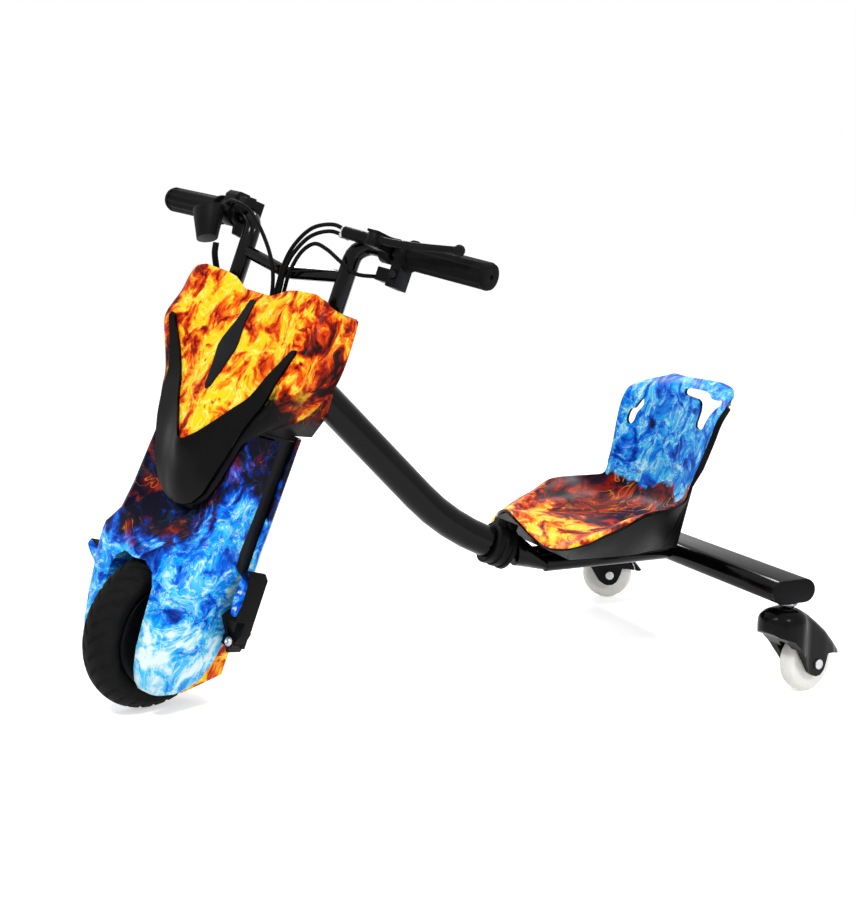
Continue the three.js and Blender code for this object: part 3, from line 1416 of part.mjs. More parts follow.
// Seat: rows from the front lip to the top of the back. Each point is a share of the half width, of the
// depth and of the height, from the centre outwards.
const seatRowShares = [
  [[0, 0, 0.175], [0.225, 0.005, 0.13], [0.44, 0.035, 0.04],
    [0.645, 0.06, 0], [0.82, 0.115, 0.01], [0.925, 0.195, 0.05]],
  [[0, 0.09, 0.155], [0.225, 0.09, 0.12], [0.44, 0.11, 0.06],
    [0.645, 0.135, 0.03], [0.85, 0.195, 0.07], [0.955, 0.265, 0.1]],
  [[0, 0.21, 0.125], [0.225, 0.21, 0.1], [0.44, 0.22, 0.065],
    [0.665, 0.245, 0.06], [0.87, 0.285, 0.12], [0.985, 0.35, 0.145]],
  [[0, 0.35, 0.095], [0.225, 0.35, 0.08], [0.455, 0.355, 0.065],
    [0.68, 0.375, 0.09], [0.895, 0.41, 0.185], [1, 0.45, 0.22]],
  [[0, 0.5, 0.08], [0.225, 0.5, 0.07], [0.455, 0.51, 0.07],
    [0.68, 0.525, 0.115], [0.88, 0.555, 0.2], [0.97, 0.57, 0.235]],
  [[0, 0.64, 0.095], [0.225, 0.64, 0.09], [0.455, 0.64, 0.1],
    [0.665, 0.645, 0.14], [0.82, 0.65, 0.21], [0.88, 0.65, 0.245]],
  [[0, 0.75, 0.155], [0.21, 0.75, 0.155], [0.425, 0.745, 0.17],
    [0.605, 0.73, 0.2], [0.74, 0.715, 0.24], [0.805, 0.705, 0.265]],
  [[0, 0.82, 0.295], [0.21, 0.815, 0.295], [0.425, 0.805, 0.3],
    [0.605, 0.78, 0.315], [0.74, 0.75, 0.335], [0.805, 0.73, 0.355]],
  [[0, 0.85, 0.445], [0.225, 0.845, 0.445], [0.455, 0.835, 0.445],
    [0.635, 0.805, 0.455], [0.775, 0.775, 0.465], [0.835, 0.76, 0.475]],
  [[0, 0.875, 0.64], [0.24, 0.875, 0.64], [0.485, 0.865, 0.64],
    [0.695, 0.84, 0.64], [0.835, 0.81, 0.64], [0.885, 0.795, 0.64]],
  [[0, 0.89, 0.79], [0.26, 0.885, 0.79], [0.515, 0.875, 0.79],
    [0.74, 0.86, 0.79], [0.865, 0.84, 0.79], [0.915, 0.83, 0.79]],
  [[0, 0.905, 0.905], [0.26, 0.9, 0.905], [0.515, 0.9, 0.9],
    [0.74, 0.9, 0.895], [0.87, 0.875, 0.88], [0.93, 0.865, 0.865]],
  [[0, 0.93, 0.965], [0.26, 0.93, 0.965], [0.5, 0.94, 0.96],
    [0.68, 0.94, 0.945], [0.82, 0.92, 0.92], [0.9, 0.885, 0.89]],
  [[0, 0.96, 1], [0.24, 0.97, 1], [0.455, 0.99, 0.995],
    [0.605, 1, 0.97], [0.74, 0.97, 0.945], [0.85, 0.92, 0.91]],
];
const seatPanRows = 8;
const seatSplits = 2;

const seatPoint = ([across, back, up]) => new THREE.Vector3(
  seatHalfWidth * across,
  seatFront + seatDepth * back,
  seatLow + seatHeight * up,
);
const seatSurface = smoothRows(seatRowShares.map((half) => mirrorRow(half.map(seatPoint))), seatSplits);

// The hand holes, as shares of the half width and of the height: one has a cross bar, the other is a slot.
const handHoleShares = {
  left: [
    [0.06, 0.925], [0.22, 0.94], [0.48, 0.93], [0.58, 0.9], [0.68, 0.895], [0.765, 0.9], [0.79, 0.875],
    [0.73, 0.845], [0.63, 0.77], [0.52, 0.685], [0.38, 0.695], [0.43, 0.8], [0.4, 0.865], [0.2, 0.885],
    [0.08, 0.895],
  ],
  right: [
    [-0.61, 0.8], [-0.65, 0.81], [-0.73, 0.735], [-0.78, 0.72], [-0.79, 0.64], [-0.74, 0.615], [-0.7, 0.64],
    [-0.68, 0.7], [-0.6, 0.765],
  ],
};

function handHole(name) {
  const place = ([across, up]) => [seatHalfWidth * across, seatLow + seatHeight * up];
  const outline = handHoleShares[name].map(place);
  return prism(outline, 'y', seatFront + seatDepth / 2, seatFront + seatDepth + overrun);
}

function seatShell() {
  const shell = sheet(seatSurface, offsetGrid(seatSurface, -seatWall));
  return piece('seat_shell', cut(shell, handHole('left'), handHole('right')), 'flame');
}

// The base hangs under the pan, narrows to a flat foot on the bracket and is hollow from below.
function seatBase() {
  const rows = seatSurface.slice(0, (seatPanRows - 1) * seatSplits + 1);
  const top = offsetGrid(rows, -seatWall - clearance);
  const low = top.map((row, i) => row.map((point) => new THREE.Vector3(
    (point.x / seatHalfWidth) * seatBaseHalfWidth,
    seatBaseFront + (i / (top.length - 1)) * (seatBaseRear - seatBaseFront),
    seatBaseBottom,
  )));
  const pocketRing = (inset) => {
    const half = seatBaseHalfWidth * 0.75 - inset;
    const front = seatBaseFront + 2 * seatBaseWall + inset;
    const rear = seatBaseRear - seatBaseWall - inset;
    return [[-half, front], [half, front], [half, rear], [-half, rear]];
  };
  const pocket = loft(
    [pocketRing(0), pocketRing(0), pocketRing(seatBaseWall)],
    [seatBaseBottom - overrun, seatBaseBottom, seatBaseBottom + seatPocketDepth],
  );
  return piece('seat_base', cut(sheet(top, low), pocket), 'satinBlack');
}

// Assembly

function steeringAssembly() {
  const group = new THREE.Group();
  group.add(frontTyre(), hubMotor(), frontAxle(), lowerCrown(), upperCrown(), steerer());
  group.add(batteryPack(), controller(), frontShroud(), rearCover(), tailCover(), coreShell());
  group.add(mask(), visor(), dartTrim(), topCover(), handlebar());
  group.add(brakePerch(), brakeLever(), switchBox(), switchButton());
  group.add(throttleHousing(), throttleLever(), powerBox(), powerButton(), horn());
  group.add(...Object.keys(cableRouteShares).map(cable));
  for (const [name, side] of sides) {
    group.add(forkLeg(name, side), grip(name, side), footBracket(name, side), footrest(name, side));
  }
  group.rotation.set(0, 0, steerTurn);
  return group;
}

function casterAssembly(name, side) {
  const group = new THREE.Group();
  group.add(casterFork(name), casterWheel(name), casterAxle(name));
  group.position.set((side * casterSpacing) / 2, 0, 0);
  group.rotation.set(0, 0, casterTurns[name]);
  return group;
}

const head = new THREE.Group();
head.add(headTube(), steeringAssembly());
head.rotation.set(-rake, 0, 0);
head.position.set(0, -wheelbase, tyreRadius);

const trike = new THREE.Group();
trike.add(head, mainTube(), collarClamp(), railYoke(), rearBeam(), seatBracket(), seatBase(), seatShell());
for (const [name, side] of sides) {
  trike.add(seatRail(name, side), beamCap(name, side));
  trike.add(casterSocket(name, side), casterAssembly(name, side));
}

// The origin is on the floor under the middle of the trike.
trike.updateMatrixWorld(true);
const bounds = new THREE.Box3().setFromObject(trike, true);
const middle = bounds.getCenter(new THREE.Vector3());
trike.position.set(-middle.x, -middle.y, -bounds.min.z);

export default trike;
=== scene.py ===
"""Looks of the electric drift trike: materials, finer surfaces, small details, light and camera."""

import json
import math

import bmesh
import bpy
from mathutils import Matrix, Vector

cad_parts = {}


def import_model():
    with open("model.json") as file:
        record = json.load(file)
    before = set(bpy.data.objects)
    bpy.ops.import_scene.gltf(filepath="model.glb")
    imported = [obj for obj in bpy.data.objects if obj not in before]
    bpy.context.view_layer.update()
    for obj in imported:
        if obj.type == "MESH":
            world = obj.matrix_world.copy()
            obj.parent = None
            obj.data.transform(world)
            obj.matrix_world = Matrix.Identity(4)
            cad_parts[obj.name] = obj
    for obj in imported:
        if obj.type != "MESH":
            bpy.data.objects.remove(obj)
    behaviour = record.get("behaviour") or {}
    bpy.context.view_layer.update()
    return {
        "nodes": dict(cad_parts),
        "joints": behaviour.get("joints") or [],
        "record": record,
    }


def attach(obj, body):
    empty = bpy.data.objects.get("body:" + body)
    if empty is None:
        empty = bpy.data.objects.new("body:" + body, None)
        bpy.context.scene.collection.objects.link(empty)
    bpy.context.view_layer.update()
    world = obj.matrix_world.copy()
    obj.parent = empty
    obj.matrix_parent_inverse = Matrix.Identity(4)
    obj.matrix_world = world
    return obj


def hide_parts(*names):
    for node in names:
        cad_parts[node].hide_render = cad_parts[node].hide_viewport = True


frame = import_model()
nodes = frame["nodes"]

# The steered frame: x to the rider's left, y to the rear, z up along the leaning head.
RAKE = math.radians(20)
STEER_TURN = math.radians(27)
HEAD_ORIGIN = Vector(next(joint["pos_m"] for joint in frame["joints"] if joint["name"] == "steer"))
STEERED = (
    Matrix.Translation(HEAD_ORIGIN)
    @ Matrix.Rotation(-RAKE, 4, "X")
    @ Matrix.Rotation(STEER_TURN, 4, "Z")
)
REST = Matrix.Identity(4)

# The camera of the photograph
IMAGE_HEIGHT = 900
CAMERA_PLACE = Vector((1.77149, -0.76095, 0.61389))
CAMERA_AZIMUTH = math.radians(66.90)
CAMERA_ELEVATION = math.radians(8.75)
FOCAL_PIXELS = 1519.6
OPTICAL_ROW = 432.84
SENSOR_WIDTH = 36.0


def linear(code):
    """Turns a colour written as six hexadecimal digits into scene values."""
    channels = [int(code[i : i + 2], 16) / 255 for i in (0, 2, 4)]
    return tuple(c / 12.92 if c <= 0.04045 else ((c + 0.055) / 1.055) ** 2.4 for c in channels) + (1.0,)


class Shader:
    """A material with short calls for its nodes."""

    def __init__(self, name, space=REST):
        self.material = bpy.data.materials.new(name)
        self.material.use_nodes = True
        self.tree = self.material.node_tree
        self.surface = self.tree.nodes["Principled BSDF"]
        place = self.add("ShaderNodeTexCoord", output="Object")
        if space is not REST:
            back = space.inverted()
            place = self.add(
                "ShaderNodeMapping",
                {"Vector": place, "Location": back.to_translation(), "Rotation": back.to_euler("XYZ")},
            )
        self.place = place

    def add(self, kind, inputs=None, output=0, **settings):
        """Adds a node, fills its inputs with links or values and returns one of its outputs."""
        node = self.tree.nodes.new(kind)
        for key, value in settings.items():
            setattr(node, key, value)
        for key, value in (inputs or {}).items():
            if isinstance(value, bpy.types.NodeSocket):
                self.tree.links.new(value, node.inputs[key])
            else:
                node.inputs[key].default_value = value
        return node.outputs[output]

    def math(self, operation, a, b=0.0, clamp=False):
        """The result of a sum on two numbers or links."""
        return self.add("ShaderNodeMath", {0: a, 1: b}, operation=operation, use_clamp=clamp)

    def axis(self, index):
        """One coordinate of the place: 0 across, 1 along, 2 up."""
        return self.add("ShaderNodeSeparateXYZ", {"Vector": self.place}, output=index)

    def warped(self, place, scale, amount):
        """The place pushed about by a soft noise, by up to half the amount."""
        values = {"Vector": place, "Scale": scale, "Detail": 2.0}
        push = self.add("ShaderNodeTexNoise", values, output=1)
        centred = self.add("ShaderNodeVectorMath", {0: push, 1: (0.5, 0.5, 0.5)}, operation="SUBTRACT")
        reach = (amount, amount, amount)
        step = self.add("ShaderNodeVectorMath", {0: centred, 1: reach}, operation="MULTIPLY")
        return self.add("ShaderNodeVectorMath", {0: place, 1: step}, operation="ADD")

    def scaled(self, x, y, z, place=None):
        """The place stretched by a factor along each axis, so that patterns on it shrink by as much."""
        return self.add("ShaderNodeVectorMath", {0: place or self.place, 1: (x, y, z)}, operation="MULTIPLY")

    def noise(self, scale, detail=2.0, distortion=0.0, place=None, roughness=0.5):
        """Soft noise around one half."""
        values = {"Vector": place or self.place, "Scale": scale, "Detail": detail}
        values |= {"Distortion": distortion, "Roughness": roughness}
        return self.add("ShaderNodeTexNoise", values)

    def cells(self, scale, place):
        """The distance to the nearest of many scattered points."""
        return self.add("ShaderNodeTexVoronoi", {"Vector": place, "Scale": scale})

    def ramp(self, factor, stops):
        """A colour for each factor, between the given stops of position and colour."""
        node = self.tree.nodes.new("ShaderNodeValToRGB")
        elements = node.color_ramp.elements
        while len(elements) < len(stops):
            elements.new(0.5)
        for element, (position, colour) in zip(elements, stops):
            element.position = position
            element.color = colour
        self.tree.links.new(factor, node.inputs["Fac"])
        return node.outputs["Color"]

    def range(self, factor, low, high, out_low=0.0, out_high=1.0):
        """The factor's share of the way from low to high, held within the ends and put between two values."""
        values = {"Value": factor, "From Min": low, "From Max": high, "To Min": out_low, "To Max": out_high}
        return self.add("ShaderNodeMapRange", values)

    def mix(self, factor, a, b):
        """The first colour where the factor is 0, the second where it is 1."""
        node = self.tree.nodes.new("ShaderNodeMix")
        node.data_type = "RGBA"
        for key, value in (("Factor", factor), ("A", a), ("B", b)):
            sockets = [s for s in node.inputs if s.name == key and s.enabled]
            if isinstance(value, bpy.types.NodeSocket):
                self.tree.links.new(value, sockets[0])
            else:
                sockets[0].default_value = value
        return [s for s in node.outputs if s.enabled][0]

    def bump(self, height, strength, distance):
        """Surface relief from a height."""
        return self.add("ShaderNodeBump", {"Height": height, "Strength": strength, "Distance": distance})

    def set(self, **values):
        """Sets or links inputs of the shader itself and returns the material."""
        for key, value in values.items():
            socket = self.surface.inputs[key.replace("_", " ")]
            if isinstance(value, bpy.types.NodeSocket):
                self.tree.links.new(value, socket)
            else:
                socket.default_value = value
        return self.material


# Plain materials


def gloss_paint():
    """Black lacquer over steel, with the faint waviness of paint and a little dust."""
    s = Shader("gloss_black_paint")
    dust = s.noise(18, detail=4)
    speck = s.noise(420, detail=1)
    colour = s.mix(s.range(dust, 0.45, 0.8, 0.0, 0.25), linear("030304"), linear("0e0e10"))
    rough = s.math("ADD", s.range(dust, 0.35, 0.75, 0.1, 0.19), s.math("MULTIPLY", speck, 0.03))
    wave = s.bump(s.noise(90, detail=1), 0.04, 0.001)
    s.set(Base_Color=colour, Roughness=rough, Normal=wave)
    return s.set(Specular_IOR_Level=0.14, Coat_Weight=0.03, Coat_Roughness=0.05)


def moulded_plastic(name, dark, light, roughness=0.48, grain=0.16):
    """Moulded plastic with a fine grain and uneven gloss."""
    s = Shader(name)
    patch = s.noise(22, detail=3)
    fine = s.noise(1500, detail=1)
    colour = s.mix(s.range(patch, 0.4, 0.75), linear(dark), linear(light))
    rough = s.range(patch, 0.3, 0.75, roughness - 0.06, roughness + 0.08)
    s.set(Base_Color=colour, Roughness=rough, Normal=s.bump(fine, grain, 0.0006))
    return s.set(Specular_IOR_Level=0.09)


def rubber(name, dark, light):
    """Matt rubber with a fine grain and paler worn patches."""
    s = Shader(name)
    patch = s.noise(30, detail=5)
    fine = s.noise(900, detail=2)
    colour = s.mix(s.range(patch, 0.4, 0.8), linear(dark), linear(light))
    rough = s.range(patch, 0.3, 0.8, 0.62, 0.82)
    s.set(Base_Color=colour, Roughness=rough, Normal=s.bump(fine, 0.25, 0.0005))
    return s.set(Specular_IOR_Level=0.09)


def steel():
    """Zinc plated steel with short scratches and duller patches."""
    s = Shader("zinc_steel")
    patch = s.noise(60, detail=4)
    lines = s.noise(300, detail=2, place=s.scaled(1, 1, 9))
    colour = s.mix(s.range(patch, 0.4, 0.7), linear("c9cacc"), linear("9fa1a4"))
    rough = s.math("ADD", s.range(patch, 0.3, 0.7, 0.24, 0.4), s.math("MULTIPLY", lines, 0.08))
    s.set(Base_Color=colour, Metallic=0.9, Roughness=rough, Normal=s.bump(lines, 0.08, 0.0004))
    return s.material


def wheel_white():
    """Cast white plastic of the casters, dusty towards the tread."""
    s = Shader("white_wheel")
    patch = s.noise(45, detail=5)
    scuff = s.noise(260, detail=2, place=s.scaled(1, 1, 0.3))
    dirt = s.math("MULTIPLY", s.range(patch, 0.45, 0.75), s.range(scuff, 0.4, 0.8), clamp=True)
    colour = s.mix(dirt, linear("eeece6"), linear("cfcabf"))
    rough = s.range(patch, 0.3, 0.7, 0.32, 0.5)
    return s.set(Base_Color=colour, Roughness=rough, Normal=s.bump(scuff, 0.08, 0.0005))


def visor_black():
    """Polished black plastic with a slight haze."""
    s = Shader("gloss_black_plastic")
    haze = s.noise(14, detail=3)
    fine = s.noise(700, detail=1)
    colour = s.mix(s.range(haze, 0.4, 0.8), linear("020203"), linear("0a0a0b"))
    rough = s.range(haze, 0.35, 0.75, 0.1, 0.2)
    s.set(Base_Color=colour, Roughness=rough, Normal=s.bump(fine, 0.02, 0.0005))
    return s.set(Specular_IOR_Level=0.08, Coat_Weight=0.02, Coat_Roughness=0.05)


# Printed films: flames in warm colours and frost in blue ones

RED_BLACK = linear("1d0705")
DARK_RED = linear("8a1606")
RED_ORANGE = linear("e2440b")
ORANGE = linear("f68a12")
YELLOW = linear("ffcf1c")
PALE_YELLOW = linear("fff27c")
VIOLET_BLACK = linear("10061c")
WINE = linear("33081c")
NIGHT = linear("06071c")
NAVY = linear("04298a")
ROYAL = linear("0462e4")
AZURE = linear("08a0f2")
CYAN = linear("57cdf8")
FROST = linear("e9fbff")


def threads(s, place, scale, width):
    """Fine wandering lines, from 0 between them to 1 on them."""
    level = s.noise(scale, detail=2, distortion=1.2, place=place)
    return s.range(s.math("ABSOLUTE", s.math("SUBTRACT", level, 0.5)), 0.0, width, 1.0, 0.0)


def flame_colours(s, place, depth=0.0):
    """Yellow and orange tongues with pale threads and dark gaps. A larger depth gives redder flames."""
    bent = s.warped(s.warped(place, 12, 0.05), 46, 0.016)
    tall = s.scaled(1.0, 1.0, 0.62, place=bent)
    level = s.math("SUBTRACT", s.noise(44, detail=5, distortion=0.5, place=tall, roughness=0.62), depth)
    stops = [(0.31, RED_BLACK), (0.385, DARK_RED), (0.44, RED_ORANGE), (0.49, ORANGE), (0.545, YELLOW)]
    body = s.ramp(level, stops)
    patch = s.range(level, 0.47, 0.57, 0.0, 0.9)
    lit = s.mix(s.math("MULTIPLY", threads(s, tall, 60, 0.045), patch), body, PALE_YELLOW)
    cells = s.range(s.cells(95, tall), 0.1, 0.26, 1.0, 0.0)
    gaps = s.math("MULTIPLY", cells, s.range(s.noise(24, detail=2, place=place), 0.46, 0.56))
    return s.mix(s.math("MULTIPLY", gaps, 0.85), lit, DARK_RED)


def ember_colours(s, place):
    """Dark red and violet smoke with thin glowing orange lines."""
    bent = s.warped(place, 13, 0.06)
    smoke = s.noise(28, detail=5, distortion=1.0, place=bent)
    stops = [(0.4, VIOLET_BLACK), (0.48, WINE), (0.57, DARK_RED), (0.7, RED_ORANGE)]
    body = s.ramp(smoke, stops)
    lines = s.math("MULTIPLY", threads(s, bent, 26, 0.018), s.range(s.noise(16, place=place), 0.45, 0.6))
    return s.mix(lines, body, ORANGE)


def frost_colours(s, place, depth=0.0):
    """Blue swirls crossed by cyan and white threads. A larger depth gives darker blues."""
    bent = s.warped(s.warped(place, 10, 0.08), 42, 0.018)
    swirl = s.noise(38, detail=6, distortion=0.6, place=bent, roughness=0.6)
    level = s.math("SUBTRACT", swirl, depth)
    stops = [(0.27, NIGHT), (0.35, NAVY), (0.43, ROYAL), (0.51, AZURE), (0.59, CYAN), (0.68, FROST)]
    body = s.ramp(level, stops)
    broad = s.math("MULTIPLY", threads(s, bent, 24, 0.03), s.range(level, 0.38, 0.52, 0.03, 0.6))
    fine = s.math("MULTIPLY", threads(s, bent, 64, 0.04), s.range(level, 0.42, 0.56, 0.0, 0.7))
    return s.mix(fine, s.mix(broad, body, CYAN), FROST)


def film_finish(s, colour):
    """The clear gloss over a printed film, with slight waviness and fine wear."""
    haze = s.noise(16, detail=3)
    fine = s.noise(800, detail=1)
    rough = s.range(haze, 0.35, 0.75, 0.3, 0.42)
    s.set(Base_Color=colour, Roughness=rough, Normal=s.bump(fine, 0.03, 0.0005))
    return s.set(Specular_IOR_Level=0.07)


def fire_print():
    """Flames all over, redder towards the sides and black low down beside the visor."""
    s = Shader("fire_print", STEERED)
    side = s.math("ABSOLUTE", s.axis(0))
    torn = s.range(s.noise(30, detail=4), 0.3, 0.7, -0.03, 0.03)
    edge = s.range(s.math("ADD", side, torn), 0.085, 0.14, 0.0, 0.11)
    fire = flame_colours(s, s.place, edge)
    front = s.range(s.axis(1), 0.0, 0.03, 1.0, 0.0)
    above = s.math("SUBTRACT", s.axis(2), s.math("MULTIPLY", side, 1.5))
    outside = s.range(above, 0.185, 0.195, 1.0, 0.0)
    low = s.range(s.math("ADD", s.axis(2), torn), 0.295, 0.325, 1.0, 0.0)
    dark = s.math("MULTIPLY", s.math("MULTIPLY", outside, low), front)
    return film_finish(s, s.mix(dark, fire, linear("0b0b0d")))


def ice_print():
    """Night blue with a red mist high in the middle, azure round it and pale frost low on the sides."""
    s = Shader("ice_print", STEERED)
    torn = s.range(s.noise(16, detail=4, distortion=0.8), 0.3, 0.7, -0.035, 0.035)
    height = s.math("ADD", s.axis(2), torn)
    widening = s.math("MULTIPLY", s.math("SUBTRACT", s.axis(2), 0.13), 0.45)
    side = s.math("SUBTRACT", s.math("ADD", s.axis(0), torn), widening)
    dark = s.math("MULTIPLY", s.range(height, 0.085, 0.13), s.range(side, 0.03, 0.075, 1.0, 0.0))
    depth = s.math("SUBTRACT", s.math("MULTIPLY", dark, 0.3), s.range(height, -0.03, 0.06, 0.12, 0.0))
    mist = s.math("MULTIPLY", s.range(s.noise(18, detail=4, distortion=1.0), 0.5, 0.62), dark)
    frost = frost_colours(s, s.place, depth)
    return film_finish(s, s.mix(s.math("MULTIPLY", mist, 0.8), frost, ember_colours(s, s.place)))


def foot_print():
    """Dark blue frost on the footrests."""
    s = Shader("foot_print", STEERED)
    return film_finish(s, frost_colours(s, s.place, 0.1))


def seat_print():
    """Flames on the front of the pan, embers behind them and frost on the back."""
    s = Shader("seat_print")
    torn = s.range(s.noise(24, detail=4, distortion=0.8), 0.3, 0.7, -0.02, 0.02)
    rise = s.math("ADD", s.math("ADD", s.axis(2), s.math("MULTIPLY", s.axis(1), 0.55)), torn)
    run = s.math("ADD", s.axis(1), s.math("MULTIPLY", torn, 1.6))
    flames = flame_colours(s, s.place, s.range(run, 0.15, 0.235, -0.01, 0.14))
    pan = s.mix(s.range(run, 0.205, 0.245), flames, ember_colours(s, s.place))
    return film_finish(s, s.mix(s.range(rise, 0.405, 0.412), pan, frost_colours(s, s.place, 0.02)))


def core_print():
    """Black plastic with a red glow that fades towards the front."""
    s = Shader("core_print", STEERED)
    torn = s.range(s.noise(22, detail=4, distortion=1.0), 0.3, 0.7, -0.03, 0.03)
    share = s.range(s.math("ADD", s.axis(2), torn), 0.285, 0.325)
    colour = s.mix(s.math("MULTIPLY", share, 0.8), linear("1a1a1c"), ember_colours(s, s.place))
    return film_finish(s, colour)


MATERIALS = {
    "gloss_black_paint": gloss_paint(),
    "satin_black_plastic": moulded_plastic("satin_black_plastic", "040405", "0e0e0f"),
    "dark_grey_plastic": moulded_plastic("dark_grey_plastic", "131416", "202123"),
    "black_rubber": rubber("black_rubber", "040404", "0e0e0d"),
    "tyre_rubber": rubber("tyre_rubber", "0c0c0c", "1e1d1c"),
    "zinc_steel": steel(),
    "motor_shell": moulded_plastic("motor_shell", "08080a", "151518", roughness=0.4),
    "fire_print": fire_print(),
    "ice_print": ice_print(),
    "seat_print": seat_print(),
    "core_print": core_print(),
    "foot_print": foot_print(),
    "gloss_hood": moulded_plastic("gloss_hood", "030304", "0b0b0c", roughness=0.22, grain=0.05),
    "gloss_black_plastic": visor_black(),
    "white_wheel": wheel_white(),
    "battery_case": moulded_plastic("battery_case", "22406b", "2f5488"),
}
SLOT_OF = {part["node"]: part["material_slot"] for part in frame["record"]["subparts"]}
BODY_OF = {node: body for body, members in frame["record"]["behaviour"]["bodies"].items() for node in members}


def placed(name, data):
    """A new object in the scene."""
    thing = bpy.data.objects.new(name, data)
    bpy.context.scene.collection.objects.link(thing)
    return thing


def shown(name, mesh, material, body, slot, *replaced):
    """Adds a piece that rides on a body and stands for the named nodes."""
    piece = placed(name, mesh)
    piece.data.materials.clear()
    piece.data.materials.append(MATERIALS[material])
    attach(piece, body)
    if replaced:
        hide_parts(*replaced)
    return piece


# Finer surfaces

MM = 0.001
SAME_POINT = 0.001 * MM
SAME_NODE_POINT = 0.02 * MM
FLAT_ANGLE = 0.6


def spline(points, splits):
    """More points along the smooth curve through the given ones."""
    ends = [points[0] * 2 - points[1], *points, points[-1] * 2 - points[-2]]
    out = []
    for a, b, c, d in zip(ends, ends[1:], ends[2:], ends[3:]):
        steps = [max((q - p).length, 1e-6) ** 0.5 for p, q in ((a, b), (b, c), (c, d))]
        leave = ((b - a) / steps[0] - (c - a) / (steps[0] + steps[1]) + (c - b) / steps[1]) * steps[1]
        arrive = ((c - b) / steps[1] - (d - b) / (steps[1] + steps[2]) + (d - c) / steps[2]) * steps[1]
        for i in range(splits):
            t = i / splits
            out.append(
                b * (2 * t**3 - 3 * t**2 + 1)
                + leave * (t**3 - 2 * t**2 + t)
                + c * (3 * t**2 - 2 * t**3)
                + arrive * (t**3 - t**2)
            )
    return [*out, points[-1].copy()]


def refined_grid(rows, row_splits, column_splits):
    """A grid with smooth curves through its points along the rows and across them."""
    wide = [spline(row, column_splits) for row in rows]
    columns = [spline(list(column), row_splits) for column in zip(*wide)]
    return [list(row) for row in zip(*columns)]


def mirrored_row(half):
    """A whole row of points from its half at positive x."""
    return [Vector((-p.x, p.y, p.z)) for p in reversed(half[1:])] + half


def moved_grid(grid, distance):
    """Every point of a grid moved along the surface's own normal."""
    last_row = len(grid) - 1
    last_column = len(grid[0]) - 1
    out = []
    for i, row in enumerate(grid):
        out.append([])
        for j, point in enumerate(row):
            up = grid[min(i + 1, last_row)][j] - grid[max(i - 1, 0)][j]
            across = row[min(j + 1, last_column)] - row[max(j - 1, 0)]
            out[-1].append(point + across.cross(up).normalized() * distance)
    return out


def sheet_mesh(name, front, back, space=REST):
    """A thin closed solid between two grids of points given in millimetres."""
    rows, columns = len(front), len(front[0])
    points = [space @ (p * MM) for grid in (front, back) for row in grid for p in row]

    def at(side, i, j):
        return (side * rows + i) * columns + j

    faces = []
    for i in range(rows - 1):
        for j in range(columns - 1):
            faces.append((at(0, i, j), at(0, i, j + 1), at(0, i + 1, j + 1), at(0, i + 1, j)))
            faces.append((at(1, i, j), at(1, i + 1, j), at(1, i + 1, j + 1), at(1, i, j + 1)))
    for j in range(columns - 1):
        faces.append((at(0, 0, j), at(1, 0, j), at(1, 0, j + 1), at(0, 0, j + 1)))
        faces.append((at(0, rows - 1, j), at(0, rows - 1, j + 1), at(1, rows - 1, j + 1), at(1, rows - 1, j)))
    last = columns - 1
    for i in range(rows - 1):
        faces.append((at(0, i, 0), at(0, i + 1, 0), at(1, i + 1, 0), at(1, i, 0)))
        faces.append((at(0, i, last), at(1, i, last), at(1, i + 1, last), at(0, i + 1, last)))
    return finished_mesh(name, points, faces)


def smooth(mesh):
    """The same mesh with its faces shaded smooth."""
    for face in mesh.polygons:
        face.use_smooth = True
    return mesh


def finished_mesh(name, points, faces):
    """A mesh without double points, with its faces turned outwards and shaded smooth."""
    mesh = bpy.data.meshes.new(name)
    mesh.from_pydata(points, [], faces)
    work = bmesh.new()
    work.from_mesh(mesh)
    bmesh.ops.remove_doubles(work, verts=work.verts, dist=SAME_POINT)
    bmesh.ops.recalc_face_normals(work, faces=work.faces)
    work.to_mesh(mesh)
    work.free()
    return smooth(mesh)


def prism_mesh(name, outline, low, high, space=REST):
    """A solid over an outline of (x, z) points, from one depth to another, in millimetres."""
    count = len(outline)
    points = [space @ (Vector((x, y, z)) * MM) for y in (low, high) for x, z in outline]
    faces = [tuple(range(count)), tuple(range(2 * count - 1, count - 1, -1))]
    faces += [(i, (i + 1) % count, count + (i + 1) % count, count + i) for i in range(count)]
    return finished_mesh(name, points, faces)


def loft_mesh(name, rings, space=REST, closed=False):
    """A solid through rings of points in millimetres, open ended ones closed by a flat face."""
    count = len(rings[0])
    points = [space @ (p * MM) for ring in rings for p in ring]
    last = len(rings) if closed else len(rings) - 1
    faces = []
    for i in range(last):
        for j in range(count):
            k = (j + 1) % count
            n = (i + 1) % len(rings)
            faces.append((i * count + j, i * count + k, n * count + k, n * count + j))
    if not closed:
        faces.append(tuple(range(count)))
        faces.append(tuple(range((len(rings) - 1) * count, len(rings) * count)))
    return finished_mesh(name, points, faces)


def turned_mesh(name, profile, space, steps=32):
    """A solid turned about the space's z axis from (radius, height) points in millimetres."""
    turns = [2 * math.pi * i / steps for i in range(steps)]
    rings = [[Vector((r * math.cos(a), r * math.sin(a), z)) for r, z in profile] for a in turns]
    return loft_mesh(name, rings, space, closed=True)


def aimed(start, direction, space):
    """A space at a point in millimetres whose z axis looks along a direction."""
    turn = Vector(direction).to_track_quat("Z", "Y").to_matrix().to_4x4()
    return space @ Matrix.Translation(Vector(start) * MM) @ turn


def rounded_outline(points, splits):
    """A closed outline through the points with its corners smoothed."""
    corners = [Vector((x, z, 0)) for x, z in points]
    count = len(corners)
    wrapped = [corners[(i - 2) % count] for i in range(count + 5)]
    curve = spline(wrapped, splits)[2 * splits : (count + 2) * splits]
    return [(p.x, p.y) for p in curve]


